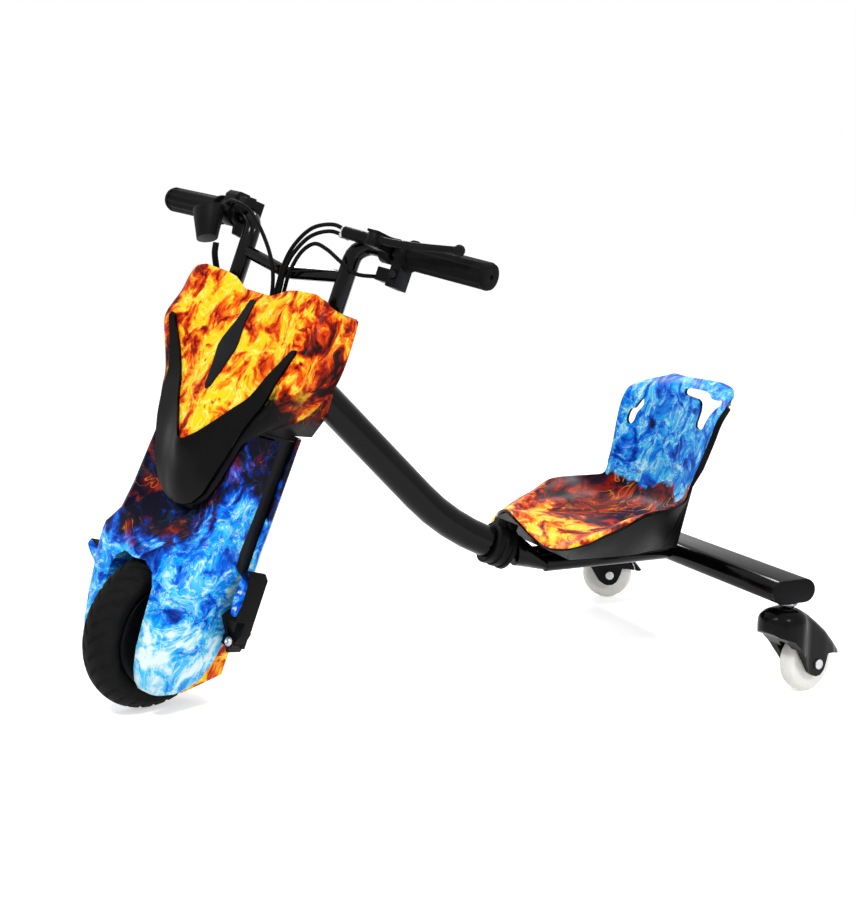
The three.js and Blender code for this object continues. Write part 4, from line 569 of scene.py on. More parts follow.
def combined(mesh, tool, operation):
    """The first mesh after the tool has cut it or been kept with it."""
    base = placed("base", mesh)
    cutter = placed("cutter", tool)
    step = base.modifiers.new("step", "BOOLEAN")
    step.object = cutter
    step.operation = operation
    step.solver = "EXACT"
    bpy.context.view_layer.update()
    graph = bpy.context.evaluated_depsgraph_get()
    result = bpy.data.meshes.new_from_object(base.evaluated_get(graph))
    bpy.data.objects.remove(base)
    bpy.data.objects.remove(cutter)
    return smooth(result)


def edged(piece, width, angle=40, segments=2):
    """Rounds the sharp edges of a piece and keeps its faces smooth."""
    bevel = piece.modifiers.new("edges", "BEVEL")
    bevel.width = width
    bevel.segments = segments
    bevel.limit_method = "ANGLE"
    bevel.angle_limit = math.radians(angle)
    bevel.harden_normals = True


SOFT_EDGE = 0.0006
SOFT_ANGLE = 32


def softened(node, material):
    """A copy of a node with its edges rounded and its curved faces shaded smooth."""
    mesh = nodes[node].data.copy()
    work = bmesh.new()
    work.from_mesh(mesh)
    bmesh.ops.remove_doubles(work, verts=work.verts, dist=SAME_NODE_POINT)
    bmesh.ops.dissolve_limit(work, angle_limit=math.radians(FLAT_ANGLE), verts=work.verts, edges=work.edges)
    work.to_mesh(mesh)
    work.free()
    piece = shown(node + "_shown", smooth(mesh), material, BODY_OF[node], SLOT_OF[node], node)
    edged(piece, SOFT_EDGE, SOFT_ANGLE)


# Mask, visor and dart on the steering head. Rows of height share, then pairs of half width share and depth
# share from the middle outwards.
MASK_ROW_SHARES = [
  [0, [0, 0.735], [0.03, 0.73], [0.06, 0.725], [0.085, 0.72], [0.11, 0.71], [0.125, 0.7], [0.13, 0.69],
    [0.135, 0.68]],
  [0.065, [0, 0.82], [0.065, 0.81], [0.12, 0.79], [0.19, 0.77], [0.27, 0.74], [0.29, 0.73], [0.305, 0.725],
    [0.31, 0.72]],
  [0.16, [0, 0.905], [0.09, 0.885], [0.17, 0.86], [0.27, 0.83], [0.41, 0.8], [0.43, 0.79], [0.445, 0.785],
    [0.45, 0.78]],
  [0.27, [0, 1], [0.1, 0.96], [0.19, 0.92], [0.31, 0.865], [0.49, 0.82], [0.52, 0.81], [0.535, 0.8],
    [0.54, 0.79]],
  [0.33, [0, 0.97], [0.1, 0.945], [0.2, 0.91], [0.33, 0.865], [0.52, 0.825], [0.56, 0.815], [0.575, 0.8],
    [0.585, 0.78]],
  [0.435, [0, 0.915], [0.13, 0.885], [0.25, 0.855], [0.38, 0.825], [0.57, 0.79], [0.67, 0.765], [0.72, 0.7],
    [0.735, 0.5]],
  [0.5, [0, 0.87], [0.15, 0.845], [0.29, 0.8], [0.44, 0.765], [0.61, 0.74], [0.735, 0.72], [0.785, 0.65],
    [0.795, 0.26]],
  [0.6, [0, 0.81], [0.17, 0.795], [0.34, 0.775], [0.51, 0.755], [0.69, 0.75], [0.825, 0.74], [0.88, 0.67],
    [0.9, 0.17]],
  [0.66, [0, 0.78], [0.19, 0.77], [0.38, 0.755], [0.59, 0.755], [0.78, 0.76], [0.895, 0.75], [0.945, 0.68],
    [0.95, 0.15]],
  [0.73, [0, 0.735], [0.19, 0.73], [0.38, 0.73], [0.61, 0.745], [0.82, 0.77], [0.94, 0.77], [0.985, 0.68],
    [0.98, 0.15]],
  [0.85, [0, 0.64], [0.19, 0.65], [0.38, 0.67], [0.62, 0.69], [0.83, 0.695], [0.95, 0.64], [0.99, 0.53],
    [0.985, 0.15]],
  [0.935, [0, 0.565], [0.19, 0.595], [0.38, 0.625], [0.61, 0.655], [0.82, 0.665], [0.93, 0.61], [0.97, 0.5],
    [0.97, 0.15]],
  [1, [0, 0.49], [0.19, 0.52], [0.38, 0.57], [0.61, 0.61], [0.8, 0.62], [0.9, 0.56], [0.94, 0.45],
    [0.945, 0.16]],
]
MASK_HALF_WIDTH = 132
MASK_HEIGHT = 290
MASK_DEPTH = 106
MASK_CHIN = 153.92
MASK_REAR = 50
MASK_WALL = 3
CHIN_SHARE = 0.25
VISOR_CHIN_SPREAD = 0.12
VISOR_THICKNESS = 4
DART_THICKNESS = 2.4
GAP = 0.3
MASK_SPLITS = (4, 3)
MASK_EDGE = 0.0008
VISOR_EDGE = 0.0016


def mask_grid(chin_spread=0):
    """Points of the mask's face. The chin spread widens the lowest rows by a share of the half width."""
    rows = []
    for height, *half in MASK_ROW_SHARES:
        widest = half[-1][0]
        wide = MASK_HALF_WIDTH * (1 + chin_spread * max(0, 1 - height / CHIN_SHARE) / widest)
        points = [
            Vector((wide * across, MASK_REAR - MASK_DEPTH * out, MASK_CHIN + MASK_HEIGHT * height))
            for across, out in half
        ]
        rows.append(mirrored_row(points))
    return refined_grid(rows, *MASK_SPLITS)


def mask_layer(name, node, material, low, high, outline_shares, chin_spread=0):
    """Shows the layer between two distances in front of the mask's face, inside a front view outline."""
    half = [(MASK_HALF_WIDTH * across, MASK_CHIN + MASK_HEIGHT * up) for across, up in outline_shares]
    outline = half + [(-x, z) for x, z in reversed(half) if x > 0]
    face = mask_grid(chin_spread)
    layer = sheet_mesh(name, moved_grid(face, high), moved_grid(face, low), STEERED)
    window = prism_mesh(name + "_window", outline, -MASK_DEPTH, MASK_DEPTH, STEERED)
    return shown(name, combined(layer, window, "INTERSECT"), material, "steering", material, node)


def mask():
    """The printed face of the head."""
    outline_shares = [
        (0, 0.05), (0.12, 0.06), (0.28, 0.1), (0.42, 0.165), (0.52, 0.27), (0.58, 0.35), (0.68, 0.48),
        (0.8, 0.56), (0.9, 0.6), (1.04, 0.64), (1.04, 0.92), (0.94, 0.95), (0.86, 0.975), (0.74, 0.99),
        (0.48, 0.985), (0.36, 0.975), (0.25, 0.95), (0.18, 0.935), (0, 0.935),
    ]
    edged(mask_layer("mask_face", "mask", "fire_print", -MASK_WALL, 0, outline_shares), MASK_EDGE)


def visor():
    """The black V over the lower half of the mask, with its chin below it."""
    outline_shares = [
        (0, 0.006), (0.1, 0.01), (0.2, 0.03), (0.31, 0.08), (0.41, 0.165), (0.49, 0.26), (0.55, 0.35),
        (0.62, 0.45), (0.71, 0.59), (0.85, 0.73), (0.84, 0.75), (0.8, 0.745), (0.6, 0.615), (0.48, 0.515),
        (0.31, 0.41), (0.14, 0.315), (0.05, 0.275), (0, 0.265),
    ]
    layer = (GAP, GAP + VISOR_THICKNESS, outline_shares, VISOR_CHIN_SPREAD)
    edged(mask_layer("visor_face", "visor", "gloss_black_plastic", *layer), VISOR_EDGE, segments=3)


def dart():
    """The narrow trim in the middle of the mask."""
    outline_shares = [
        (0, 0.49), (0.03, 0.505), (0.11, 0.675), (0.105, 0.71), (0.055, 0.795), (0.03, 0.895), (0, 0.9),
    ]
    layer = (GAP, GAP + DART_THICKNESS, outline_shares)
    edged(mask_layer("dart_face", "dart_trim", "dark_grey_plastic", *layer), MASK_EDGE)


# Seat: rows from the front lip to the top of the back, as shares of the half width, of the depth and of the
# height, from the middle outwards.
SEAT_ROW_SHARES = [
  [[0, 0, 0.175], [0.225, 0.005, 0.13], [0.44, 0.035, 0.04],
    [0.645, 0.06, 0], [0.82, 0.115, 0.01], [0.925, 0.195, 0.05]],
  [[0, 0.09, 0.155], [0.225, 0.09, 0.12], [0.44, 0.11, 0.06],
    [0.645, 0.135, 0.03], [0.85, 0.195, 0.07], [0.955, 0.265, 0.1]],
  [[0, 0.21, 0.125], [0.225, 0.21, 0.1], [0.44, 0.22, 0.065],
    [0.665, 0.245, 0.06], [0.87, 0.285, 0.12], [0.985, 0.35, 0.145]],
  [[0, 0.35, 0.095], [0.225, 0.35, 0.08], [0.455, 0.355, 0.065],
    [0.68, 0.375, 0.09], [0.895, 0.41, 0.185], [1, 0.45, 0.22]],
  [[0, 0.5, 0.08], [0.225, 0.5, 0.07], [0.455, 0.51, 0.07],
    [0.68, 0.525, 0.115], [0.88, 0.555, 0.2], [0.97, 0.57, 0.235]],
  [[0, 0.64, 0.095], [0.225, 0.64, 0.09], [0.455, 0.64, 0.1],
    [0.665, 0.645, 0.14], [0.82, 0.65, 0.21], [0.88, 0.65, 0.245]],
  [[0, 0.75, 0.155], [0.21, 0.75, 0.155], [0.425, 0.745, 0.17],
    [0.605, 0.73, 0.2], [0.74, 0.715, 0.24], [0.805, 0.705, 0.265]],
  [[0, 0.82, 0.295], [0.21, 0.815, 0.295], [0.425, 0.805, 0.3],
    [0.605, 0.78, 0.315], [0.74, 0.75, 0.335], [0.805, 0.73, 0.355]],
  [[0, 0.85, 0.445], [0.225, 0.845, 0.445], [0.455, 0.835, 0.445],
    [0.635, 0.805, 0.455], [0.775, 0.775, 0.465], [0.835, 0.76, 0.475]],
  [[0, 0.875, 0.64], [0.24, 0.875, 0.64], [0.485, 0.865, 0.64],
    [0.695, 0.84, 0.64], [0.835, 0.81, 0.64], [0.885, 0.795, 0.64]],
  [[0, 0.89, 0.79], [0.26, 0.885, 0.79], [0.515, 0.875, 0.79],
    [0.74, 0.86, 0.79], [0.865, 0.84, 0.79], [0.915, 0.83, 0.79]],
  [[0, 0.905, 0.905], [0.26, 0.9, 0.905], [0.515, 0.9, 0.9],
    [0.74, 0.9, 0.895], [0.87, 0.875, 0.88], [0.93, 0.865, 0.865]],
  [[0, 0.93, 0.965], [0.26, 0.93, 0.965], [0.5, 0.94, 0.96],
    [0.68, 0.94, 0.945], [0.82, 0.92, 0.92], [0.9, 0.885, 0.89]],
  [[0, 0.96, 1], [0.24, 0.97, 1], [0.455, 0.99, 0.995],
    [0.605, 1, 0.97], [0.74, 0.97, 0.945], [0.85, 0.92, 0.91]],
]
SEAT_HALF_WIDTH = 132
SEAT_DEPTH = 293
SEAT_HEIGHT = 197
SEAT_FRONT = 107.82
SEAT_LOW = 174
SEAT_WALL = 4
SEAT_MIDDLE = 0.355
SEAT_SPLITS = (5, 3)


def seat_grid():
    """Points of the seat's upper face."""
    rows = []
    for half in SEAT_ROW_SHARES:
        points = [
            Vector((SEAT_HALF_WIDTH * across, SEAT_FRONT + SEAT_DEPTH * back, SEAT_LOW + SEAT_HEIGHT * up))
            for across, back, up in half
        ]
        rows.append([p + Vector((SEAT_MIDDLE, 0, 0)) for p in mirrored_row(points)])
    return refined_grid(rows, *SEAT_SPLITS)


HAND_HOLE_SHARES = {
    "left": [
        (0.06, 0.925), (0.22, 0.94), (0.48, 0.93), (0.58, 0.9), (0.68, 0.895), (0.765, 0.9), (0.79, 0.875),
        (0.73, 0.845), (0.63, 0.77), (0.52, 0.685), (0.38, 0.695), (0.43, 0.8), (0.4, 0.865), (0.2, 0.885),
        (0.08, 0.895),
    ],
    "right": [
        (-0.61, 0.8), (-0.65, 0.81), (-0.73, 0.735), (-0.78, 0.72), (-0.79, 0.64), (-0.74, 0.615),
        (-0.7, 0.64), (-0.68, 0.7), (-0.6, 0.765),
    ],
}
CORNER_SPLITS = 3
FILM_EDGE = 0.0004
SHELL_EDGE = 0.001
SEAT_FILM = 0.8
HOLE_PAST = 5
SEAT_RIM = 8
SEAT_PAN_ROWS = 34
RIM_LEAST = 0.5
RIM_FADE_STEPS = 6
RIM_SMOOTHING = 5


def seat_layer(name, high, low):
    """A layer of the shell between two distances below its upper face, with both hand holes."""
    face = seat_grid()
    top = moved_grid(face, -high) if high else face
    mesh = sheet_mesh(name, top, moved_grid(face, -low))
    for side, shares in HAND_HOLE_SHARES.items():
        outline = [(SEAT_MIDDLE + SEAT_HALF_WIDTH * a, SEAT_LOW + SEAT_HEIGHT * b) for a, b in shares]
        start = SEAT_FRONT + SEAT_DEPTH / 2
        end = SEAT_FRONT + SEAT_DEPTH + HOLE_PAST
        hole = prism_mesh("hole", rounded_outline(outline, CORNER_SPLITS), start, end)
        mesh = combined(mesh, hole, "DIFFERENCE")
    return mesh


def seat():
    """The printed skin over the black body of the shell."""
    skin = seat_layer("seat_skin", 0, SEAT_FILM)
    edged(shown("seat_skin", skin, "seat_print", "frame", "fire_print", "seat_shell"), FILM_EDGE)
    body = seat_layer("seat_body", SEAT_FILM, SEAT_WALL)
    piece = shown("seat_body", body, "gloss_black_plastic", "frame", "gloss_black_plastic", "seat_shell")
    edged(piece, SHELL_EDGE)


def seat_rim():
    """The turned edge behind the backrest, from one end of the pan over the top to the other."""
    face = seat_grid()
    back = moved_grid(face, -1)
    last = len(face) - 1
    edges = [(i, -1, -2) for i in range(SEAT_PAN_ROWS, last)]
    edges += [(last, j, j) for j in range(len(face[0]) - 1, -1, -1)]
    edges += [(i, 0, 1) for i in range(last - 1, SEAT_PAN_ROWS - 1, -1)]
    inside = [face[i - 1][j] if i == last else face[i][inner] for i, j, inner in edges]
    outwards = [(face[i][j] - near).normalized() for (i, j, _), near in zip(edges, inside)]
    for _ in range(RIM_SMOOTHING):
        middle = [(a + b + c).normalized() for a, b, c in zip(outwards, outwards[1:], outwards[2:])]
        outwards = [outwards[0], *middle, outwards[-1]]
    rings = []
    for count, ((i, j, _), outward) in enumerate(zip(edges, outwards)):
        edge = face[i][j]
        rearward = (back[i][j] - edge).normalized()
        fade = min(1, count / RIM_FADE_STEPS, (len(edges) - 1 - count) / RIM_FADE_STEPS)
        depth = SEAT_WALL + RIM_LEAST + (SEAT_RIM - SEAT_WALL) * fade
        section = [(0.2, 0.6), (1.2, 1.2), (1.4, depth - 1), (0.6, depth), (-1.2, depth)]
        section += [(-1.6, SEAT_WALL + GAP), (0.2, SEAT_WALL + GAP)]
        rings.append([edge + outward * a + rearward * b for a, b in section])
    mesh = loft_mesh("seat_rim", rings)
    edged(shown("seat_rim", mesh, "gloss_black_plastic", "frame", "gloss_black_plastic"), FILM_EDGE)


# Tyre with curved grooves that sweep back from the middle of the tread

TYRE_RADIUS = 100
TYRE_BEAD = 68
TYRE_HALF_WIDTH = 25
TYRE_GROOVES = 30
GROOVE_STEPS = 14
GROOVE_CUT = 2.2
GROOVE_INNER_SHARE = 0.06
GROOVE_OUTER_SHARE = 0.93
GROOVE_SWEEP_SHARES = (1.9, -0.9)
GROOVE_FADE_SHARES = (0.08, 0.12)
GROOVE_WIDTH_SHARES = (0.10, 0.05)
TREAD_START = 16
TYRE_SPLITS = 4
TYRE_PROFILE_SHARES = [
    (0, -0.76), (0.25, -0.94), (0.5, -0.98), (0.72, -0.82), (0.9, -0.52), (0.98, -0.22), (1, 0),
]


def groove_depth(turn, across):
    """How deep the tread is cut, from 0 to 1, at a share of a groove's pitch and a place across the tread."""
    reach = abs(across)
    if not GROOVE_INNER_SHARE < reach < GROOVE_OUTER_SHARE:
        return 0.0
    lead, curl = GROOVE_SWEEP_SHARES
    start = turn + lead * reach + curl * reach**2 + (0.5 if across > 0 else 0.0)
    near = abs((start + 0.5) % 1.0 - 0.5)
    inner_fade, outer_fade = GROOVE_FADE_SHARES
    fade = min(1.0, (reach - GROOVE_INNER_SHARE) / inner_fade, (GROOVE_OUTER_SHARE - reach) / outer_fade)
    least, growth = GROOVE_WIDTH_SHARES
    width = least + growth * reach
    return max(0.0, 1 - (near / width) ** 4) * fade


def tyre():
    """The tyre, with its tread cut by the grooves."""
    height = TYRE_RADIUS - TYRE_BEAD
    half = [
        Vector((TYRE_BEAD + height * up, TYRE_HALF_WIDTH * across, 0)) for up, across in TYRE_PROFILE_SHARES
    ]
    whole = half + [Vector((p.x, -p.y, 0)) for p in reversed(half[:-1])]
    profile = spline(whole, TYRE_SPLITS)
    steps = TYRE_GROOVES * GROOVE_STEPS
    rings = []
    for i in range(steps):
        angle = 2 * math.pi * i / steps
        rings.append([])
        for p in profile:
            on_tread = p.x > TYRE_BEAD + TREAD_START
            cut = groove_depth(TYRE_GROOVES * i / steps, p.y / TYRE_HALF_WIDTH) if on_tread else 0.0
            radius = p.x - GROOVE_CUT * cut
            rings[-1].append(Vector((p.y, radius * math.cos(angle), radius * math.sin(angle))))
    mesh = loft_mesh("tyre_tread", rings, STEERED, closed=True)
    shown("tyre_tread", mesh, "tyre_rubber", "front_wheel", "tyre_rubber", "front_tyre")


# Cables from the controls to the cover's holes, as shares of the uprights' half spacing, of their setback and
# of the bar's height.
CABLE_ROUTE_SHARES = {
  "brake_cable_front": [
    [0.962, 0.43, 1.013], [0.7, 0.33, 1.02], [0.42, 0.13, 1], [0.16, 0.2, 0.95], [0.03, 0.37, 0.9],
    [0, 0.5, 0.85], [-0.02, 0.6, 0.78],
  ],
  "brake_cable_rear": [
    [0.962, 0.43, 1.001], [0.7, 0.27, 1.003], [0.47, 0.03, 0.98], [0.24, 0.07, 0.93], [0.12, 0.27, 0.89],
    [0.08, 0.47, 0.845], [0.07, 0.6, 0.78],
  ],
  "switch_wire": [
    [1.44, 1.27, 0.935], [1.29, 0.53, 0.925], [1.09, 0.2, 0.94], [0.8, 0.07, 0.96], [0.56, 0.07, 0.965],
    [0.36, 0.13, 0.94], [0.22, 0.27, 0.89], [0.12, 0.6, 0.845], [0.09, 0.8, 0.78],
  ],
  "throttle_wire": [
    [-1.55, 0.7, 1.015], [-1.38, 0.4, 1.02], [-1.16, 0.13, 1.017], [-0.84, 0.07, 1.005], [-0.49, 0.2, 0.96],
    [-0.2, 0.37, 0.9], [-0.1, 0.53, 0.85], [-0.07, 0.73, 0.78],
  ],
  "horn_lead": [
    [-1.29, 0.1, 0.91], [-1.275, 0.17, 0.885], [-1.25, 0.4, 0.857], [-1.225, 0.6, 0.834],
    [-1.215, 0.73, 0.81], [-1.21, 0.73, 0.78],
  ],
}
UPRIGHT_HALF_SPACING = 89.5
UPRIGHT_SETBACK = 30
BAR_HEIGHT = 518
CABLE_RADIUS = 2.5
HORN_LEAD_RADIUS = 4
CABLE_SPLITS = 6
# Points of radius and height of a cable's metal end, with a neck between its two collars
FERRULE_PROFILE = [
    (2.6, -4), (4, -3.4), (4, 2), (3.5, 2.4), (3.5, 3.4), (4, 3.8), (4, 8), (3.1, 9.5), (2.6, 9.5),
]


def round_tube(name, points, radius):
    """The mesh of a smooth round tube along points in metres."""
    line = bpy.data.curves.new(name, "CURVE")
    line.dimensions = "3D"
    line.bevel_depth = radius
    line.bevel_resolution = 3
    line.use_fill_caps = True
    path = line.splines.new("POLY")
    path.points.add(len(points) - 1)
    for target, place in zip(path.points, points):
        target.co = (*place, 1)
    curve = placed(name, line)
    mesh = bpy.data.meshes.new_from_object(curve.evaluated_get(bpy.context.evaluated_depsgraph_get()))
    bpy.data.objects.remove(curve)
    return smooth(mesh)


def route_point(across, back, up):
    """A point of a cable's route in millimetres of the steered frame."""
    return Vector((across * UPRIGHT_HALF_SPACING, back * UPRIGHT_SETBACK, up * BAR_HEIGHT))


def cables():
    """The five cables, which keep their routes because both their ends turn with the steering."""
    for name, shares in CABLE_ROUTE_SHARES.items():
        corners = [STEERED @ (route_point(*share) * MM) for share in shares]
        radius = HORN_LEAD_RADIUS if name == "horn_lead" else CABLE_RADIUS
        mesh = round_tube(name + "_run", spline(corners, CABLE_SPLITS), radius * MM)
        shown(name + "_run", mesh, "black_rubber", "steering", "black_rubber", name)


def ferrules():
    """Metal ends where the two brake cables leave the lever's barrel."""
    for name in ("brake_cable_front", "brake_cable_rear"):
        start, ahead = [route_point(*share) for share in CABLE_ROUTE_SHARES[name][:2]]
        mesh = turned_mesh(name + "_ferrule", FERRULE_PROFILE, aimed(start, ahead - start, STEERED))
        shown(name + "_ferrule", mesh, "zinc_steel", "steering", "zinc_steel")


# Casters: an arched hood over each wheel. Shares of the length, of the height and of the half width.
CASTER_TURNS = {"left": math.radians(12), "right": math.radians(-20)}
CASTER_LENGTH = 128
CASTER_FRONT = 40
CASTER_HEIGHT = 92
CASTER_TOP = 114
CASTER_DOME = 28
CASTER_TRAIL = 36
CASTER_RADIUS = 38
WELL_RADIUS = 42
WELL_HALF_WIDTH = 16
STEM_BORE = 8.3
PIN_BORE = 4.6
WELL_STEPS = 48
CUT_REACH = 60
BORE_TOP = 130
HOOD_STEPS = 44
HOOD_END_SHARES = {0.006, 0.012, 0.034, 0.057, 0.994}
HOOD_EDGE = 0.0012
HOOD_EDGE_ANGLE = 50
LEAST_SIDE = 0.5
ARCH_SHARE = 0.95
ARCH_STEPS = 14
ARCH_SQUARENESS = 0.75
HOOD_TOP_SHARES = [
    (0, 0.83), (0.01, 0.9), (0.06, 0.965), (0.16, 0.995), (0.28, 1), (0.375, 0.985), (0.48, 0.91),
    (0.59, 0.8), (0.745, 0.63), (0.87, 0.455), (0.955, 0.325), (1, 0.24),
]
HOOD_BOTTOM_SHARES = [
    (0, 0.74), (0.015, 0.7), (0.06, 0.65), (0.2, 0.58), (0.31, 0.44), (0.395, 0.26), (0.465, 0.09),
    (0.52, 0.03), (0.575, 0), (0.64, 0.01), (0.685, 0.06), (0.72, 0.15), (0.75, 0.28), (0.83, 0.27),
    (0.97, 0.215), (1, 0.22),
]
HOOD_WIDTH_SHARES = [
    (0, 0.12), (0.02, 0.42), (0.06, 0.68), (0.13, 0.88), (0.22, 0.98), (0.31, 1), (0.37, 0.93),
    (0.42, 0.82), (0.48, 0.76), (0.7, 0.75), (0.84, 0.68), (0.95, 0.5), (1, 0.34),
]


def between(table, place):
    """The value at a place along a table of (place, value) points."""
    for (a, low), (b, high) in zip(table, table[1:]):
        if place <= b:
            return low + (high - low) * (place - a) / (b - a)
    return table[-1][1]


def caster_space(side):
    """The space of a caster, with its swivel axis as z and its trail along y."""
    stem = next(joint["pos_m"] for joint in frame["joints"] if joint["name"] == f"caster_{side}_swivel")
    return Matrix.Translation((stem[0], stem[1], 0)) @ Matrix.Rotation(CASTER_TURNS[side], 4, "Z")


def hood_ring(share):
    """One arched cross section: straight low sides that round over into the top."""
    base = CASTER_TOP - CASTER_HEIGHT
    along = CASTER_LENGTH * share - CASTER_FRONT
    low = base + CASTER_HEIGHT * between(HOOD_BOTTOM_SHARES, share)
    high = base + CASTER_HEIGHT * between(HOOD_TOP_SHARES, share)
    half = CASTER_DOME * between(HOOD_WIDTH_SHARES, share)
    arch = min(high - low - LEAST_SIDE, half * ARCH_SHARE)
    ring = [Vector((-half, along, low)), Vector((half, along, low))]
    for step in range(ARCH_STEPS + 1):
        angle = math.pi * step / ARCH_STEPS
        across = math.copysign(abs(math.cos(angle)) ** ARCH_SQUARENESS, math.cos(angle))
        rise = math.sin(angle) ** ARCH_SQUARENESS
        ring.append(Vector((half * across, along, high - arch + arch * rise)))
    return ring


def plug(radius, low, high):
    """The profile of a round cut about an axis."""
    return [(0, low), (radius, low), (radius, high), (0, high)]


def caster_hoods():
    """The hooded forks, each with a well for the wheel and bores for the stem and the pin."""
    for side in CASTER_TURNS:
        space = caster_space(side)
        axle = aimed((0, CASTER_TRAIL, CASTER_RADIUS), (1, 0, 0), space)
        shares = sorted({i / HOOD_STEPS for i in range(HOOD_STEPS + 1)} | HOOD_END_SHARES)
        mesh = loft_mesh("hood", [hood_ring(share) for share in shares], space)
        well = turned_mesh("well", plug(WELL_RADIUS, -WELL_HALF_WIDTH, WELL_HALF_WIDTH), axle, WELL_STEPS)
        bore = turned_mesh("bore", plug(STEM_BORE, CUT_REACH, BORE_TOP), space)
        pin = turned_mesh("pin", plug(PIN_BORE, -CUT_REACH, CUT_REACH), axle)
        for cut in (well, bore, pin):
            mesh = combined(mesh, cut, "DIFFERENCE")
        node = f"caster_fork_{side}"
        piece = shown(f"caster_hood_{side}", mesh, "gloss_hood", BODY_OF[node], "satin_black_plastic", node)
        edged(piece, HOOD_EDGE, HOOD_EDGE_ANGLE)


# Footrests, in a space at the hinge with z along the pad
FOOT_HINGE = Vector((98.5, 0, 20))
FOOT_TURNS = {"left": 0, "right": math.radians(60)}
FOOT_FRONT = 13
PLATE_DEPTH = 1.6
PLATE_OUTLINE = [(2, 34), (11.5, 34), (11.8, 82), (9, 86.5), (4, 86.5), (1.4, 82)]
PLATE_MIDDLE = 6.5
PLATE_EDGE = 0.0005
SCREW_HEIGHTS = (42, 62)
SCREW_SEAT = 1.9
SCREW_RADIUS = 2.4
SCREW_STEPS = 20
PIN_FRONT = 24.9
PIN_RADIUS = 4.6


def bolt_profile(radius):
    """A domed head with a raised rim and a recess, over a washer."""
    wide = radius * 1.25
    return [
        (0, -0.6), (wide, -0.6), (wide, 0.2), (radius, 0.4), (radius, 1.6), (radius * 0.8, 2.4),
        (radius * 0.5, 2.7), (radius * 0.42, 1.5), (0, 1.5),
    ]


def footrest_details():
    """A printed plate with two screws on each footrest, and the head of each hinge pin."""
    for side, turn in FOOT_TURNS.items():
        sign = 1 if side == "left" else -1
        lean = Matrix.Rotation(turn * sign, 4, "Y")
        hinge = Vector((FOOT_HINGE.x * sign, 0, FOOT_HINGE.z))
        space = STEERED @ Matrix.Translation(hinge * MM) @ lean
        outline = rounded_outline([(x * sign, z) for x, z in PLATE_OUTLINE], CORNER_SPLITS)
        mesh = prism_mesh(f"foot_plate_{side}", outline, FOOT_FRONT - PLATE_DEPTH, FOOT_FRONT - GAP, space)
        body = BODY_OF[f"footrest_{side}"]
        edged(shown(f"foot_plate_{side}", mesh, "foot_print", body, "ice_print"), PLATE_EDGE)
        for count, height in enumerate(SCREW_HEIGHTS):
            place = aimed((PLATE_MIDDLE * sign, FOOT_FRONT - SCREW_SEAT, height), (0, -1, 0), space)
            mesh = turned_mesh("screw", bolt_profile(SCREW_RADIUS), place, SCREW_STEPS)
            shown(f"foot_screw_{side}_{count}", mesh, "zinc_steel", body, "zinc_steel")
        place = aimed((hinge.x, PIN_FRONT, hinge.z), (0, -1, 0), STEERED)
        mesh = turned_mesh("pin", bolt_profile(PIN_RADIUS), place)
        shown(f"foot_pin_head_{side}", mesh, "zinc_steel", BODY_OF[f"footrest_bracket_{side}"], "zinc_steel")


mask()
visor()
dart()
seat()
seat_rim()
tyre()
cables()
ferrules()
caster_hoods()
footrest_details()

REBUILT = {"mask", "visor", "dart_trim", "seat_shell", "front_tyre", "caster_fork_left", "caster_fork_right"}
REBUILT |= set(CABLE_ROUTE_SHARES)
SPECIAL = {"core_shell": "core_print"}
for name in sorted(set(nodes) - REBUILT):
    softened(name, SPECIAL.get(name, SLOT_OF[name]))
for name, node in nodes.items():
    node.data.materials.clear()
    node.data.materials.append(MATERIALS[SLOT_OF[name]])


# Floor, light and camera

SKY_LIGHT = 0.55
FLOOR_LIFT = 0.5
FLOOR_SIZE = 60
FLOOR_HEIGHT = -0.0005
LAMP_HEIGHT_SHARE = 0.8
NEAR_LIMIT = 0.05
FAR_LIMIT = 100
# Place, aim, width and power of each lamp
LAMPS = {
    "key": ((1.5, -1.5, 2.1), (0, 0, 0.25), 0.4, 36),
    "side": ((2.2, 1.4, 1.5), (0, 0.1, 0.2), 0.35, 18),
    "top": ((-0.8, 0.95, 2.3), (0, 0, 0.2), 0.35, 18),
    "back": ((-1.8, 0.4, 1.5), (0, 0, 0.3), 0.5, 12),
}


def seen_share(tree):
    """1 for what the camera sees directly, in a reflection or through glass, else 0."""
    path = tree.nodes.new("ShaderNodeLightPath")
    share = path.outputs["Is Camera Ray"]
    for name in ("Is Glossy Ray", "Is Transmission Ray"):
        either = tree.nodes.new("ShaderNodeMath")
        either.operation = "MAXIMUM"
        tree.links.new(share, either.inputs[0])
        tree.links.new(path.outputs[name], either.inputs[1])
        share = either.outputs[0]
    return share


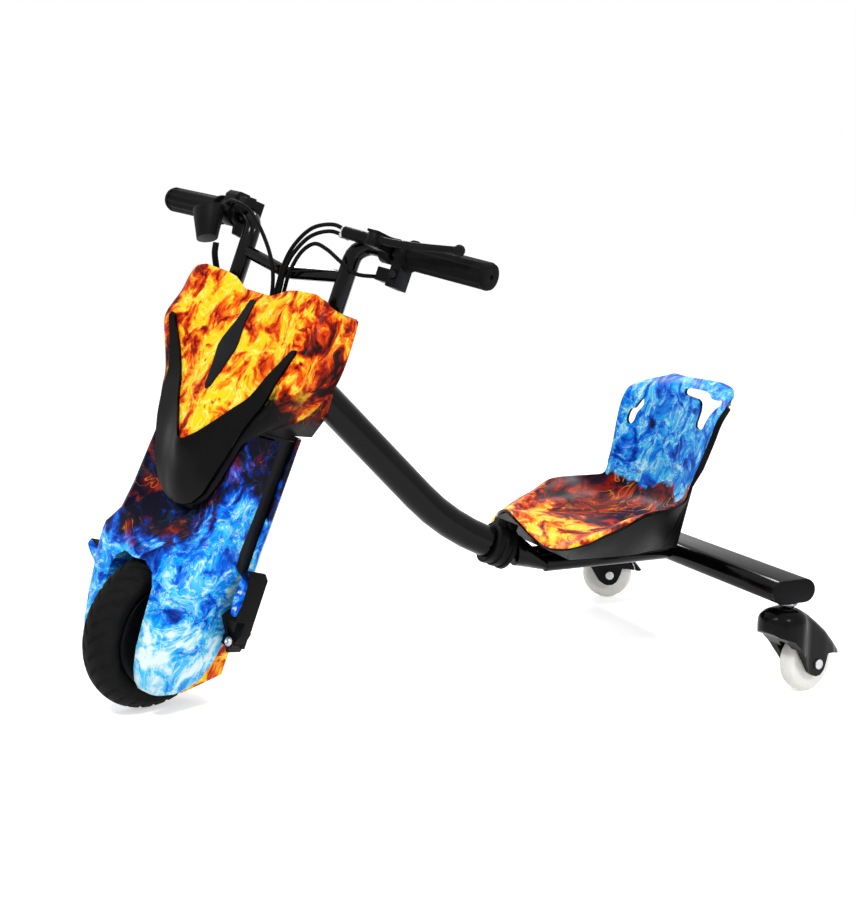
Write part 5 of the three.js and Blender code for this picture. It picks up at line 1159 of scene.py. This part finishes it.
def floor():
    """A pale floor that is white to the camera apart from the soft shadows on it."""
    bpy.ops.mesh.primitive_plane_add(size=FLOOR_SIZE, location=(0, 0, FLOOR_HEIGHT))
    plane = bpy.context.object
    plane.name = "floor"
    s = Shader("pale_floor")
    s.set(Base_Color=s.mix(s.noise(3, detail=2), linear("f6f6f6"), linear("fbfbfb")), Roughness=0.9)
    s.set(Specular_IOR_Level=0.1)
    lift = s.math("MULTIPLY", seen_share(s.tree), FLOOR_LIFT)
    glow = s.add("ShaderNodeEmission", {"Color": (1, 1, 1, 1), "Strength": lift})
    body = s.add("ShaderNodeAddShader", {0: s.surface.outputs[0], 1: glow})
    s.tree.links.new(body, s.tree.nodes["Material Output"].inputs["Surface"])
    plane.data.materials.append(s.material)


def world():
    """Even light from all round; the camera and reflections see white."""
    sky = bpy.data.worlds.new("studio")
    bpy.context.scene.world = sky
    sky.use_nodes = True
    tree = sky.node_tree
    background = tree.nodes["Background"]
    strength = tree.nodes.new("ShaderNodeMapRange")
    tree.links.new(seen_share(tree), strength.inputs["Value"])
    strength.inputs["To Min"].default_value = SKY_LIGHT
    strength.inputs["To Max"].default_value = 1.0
    tree.links.new(strength.outputs[0], background.inputs["Strength"])
    background.inputs["Color"].default_value = (1, 1, 1, 1)


def lamp(name, place, aim, width, power):
    """A soft lamp that looks at a point."""
    light = bpy.data.lights.new(name, "AREA")
    light.shape = "RECTANGLE"
    light.size = width
    light.size_y = width * LAMP_HEIGHT_SHARE
    light.energy = power
    holder = placed(name, light)
    holder.location = place
    holder.rotation_euler = (Vector(aim) - Vector(place)).to_track_quat("-Z", "Y").to_euler()


def camera():
    """The camera at the photograph's viewing angle."""
    eye = bpy.data.cameras.new("camera")
    eye.sensor_width = SENSOR_WIDTH
    eye.lens = SENSOR_WIDTH * FOCAL_PIXELS / IMAGE_HEIGHT
    eye.shift_y = (OPTICAL_ROW - IMAGE_HEIGHT / 2) / IMAGE_HEIGHT
    eye.clip_start = NEAR_LIMIT
    eye.clip_end = FAR_LIMIT
    holder = placed("camera", eye)
    level = math.cos(CAMERA_ELEVATION)
    away = (math.sin(CAMERA_AZIMUTH) * level, -math.cos(CAMERA_AZIMUTH) * level, math.sin(CAMERA_ELEVATION))
    holder.location = CAMERA_PLACE
    holder.rotation_mode = "QUATERNION"
    holder.rotation_quaternion = (-Vector(away)).to_track_quat("-Z", "Y")
    bpy.context.scene.camera = holder


floor()
world()
for name, values in LAMPS.items():
    lamp(name, *values)
camera()
bpy.context.scene.view_settings.view_transform = "Standard"
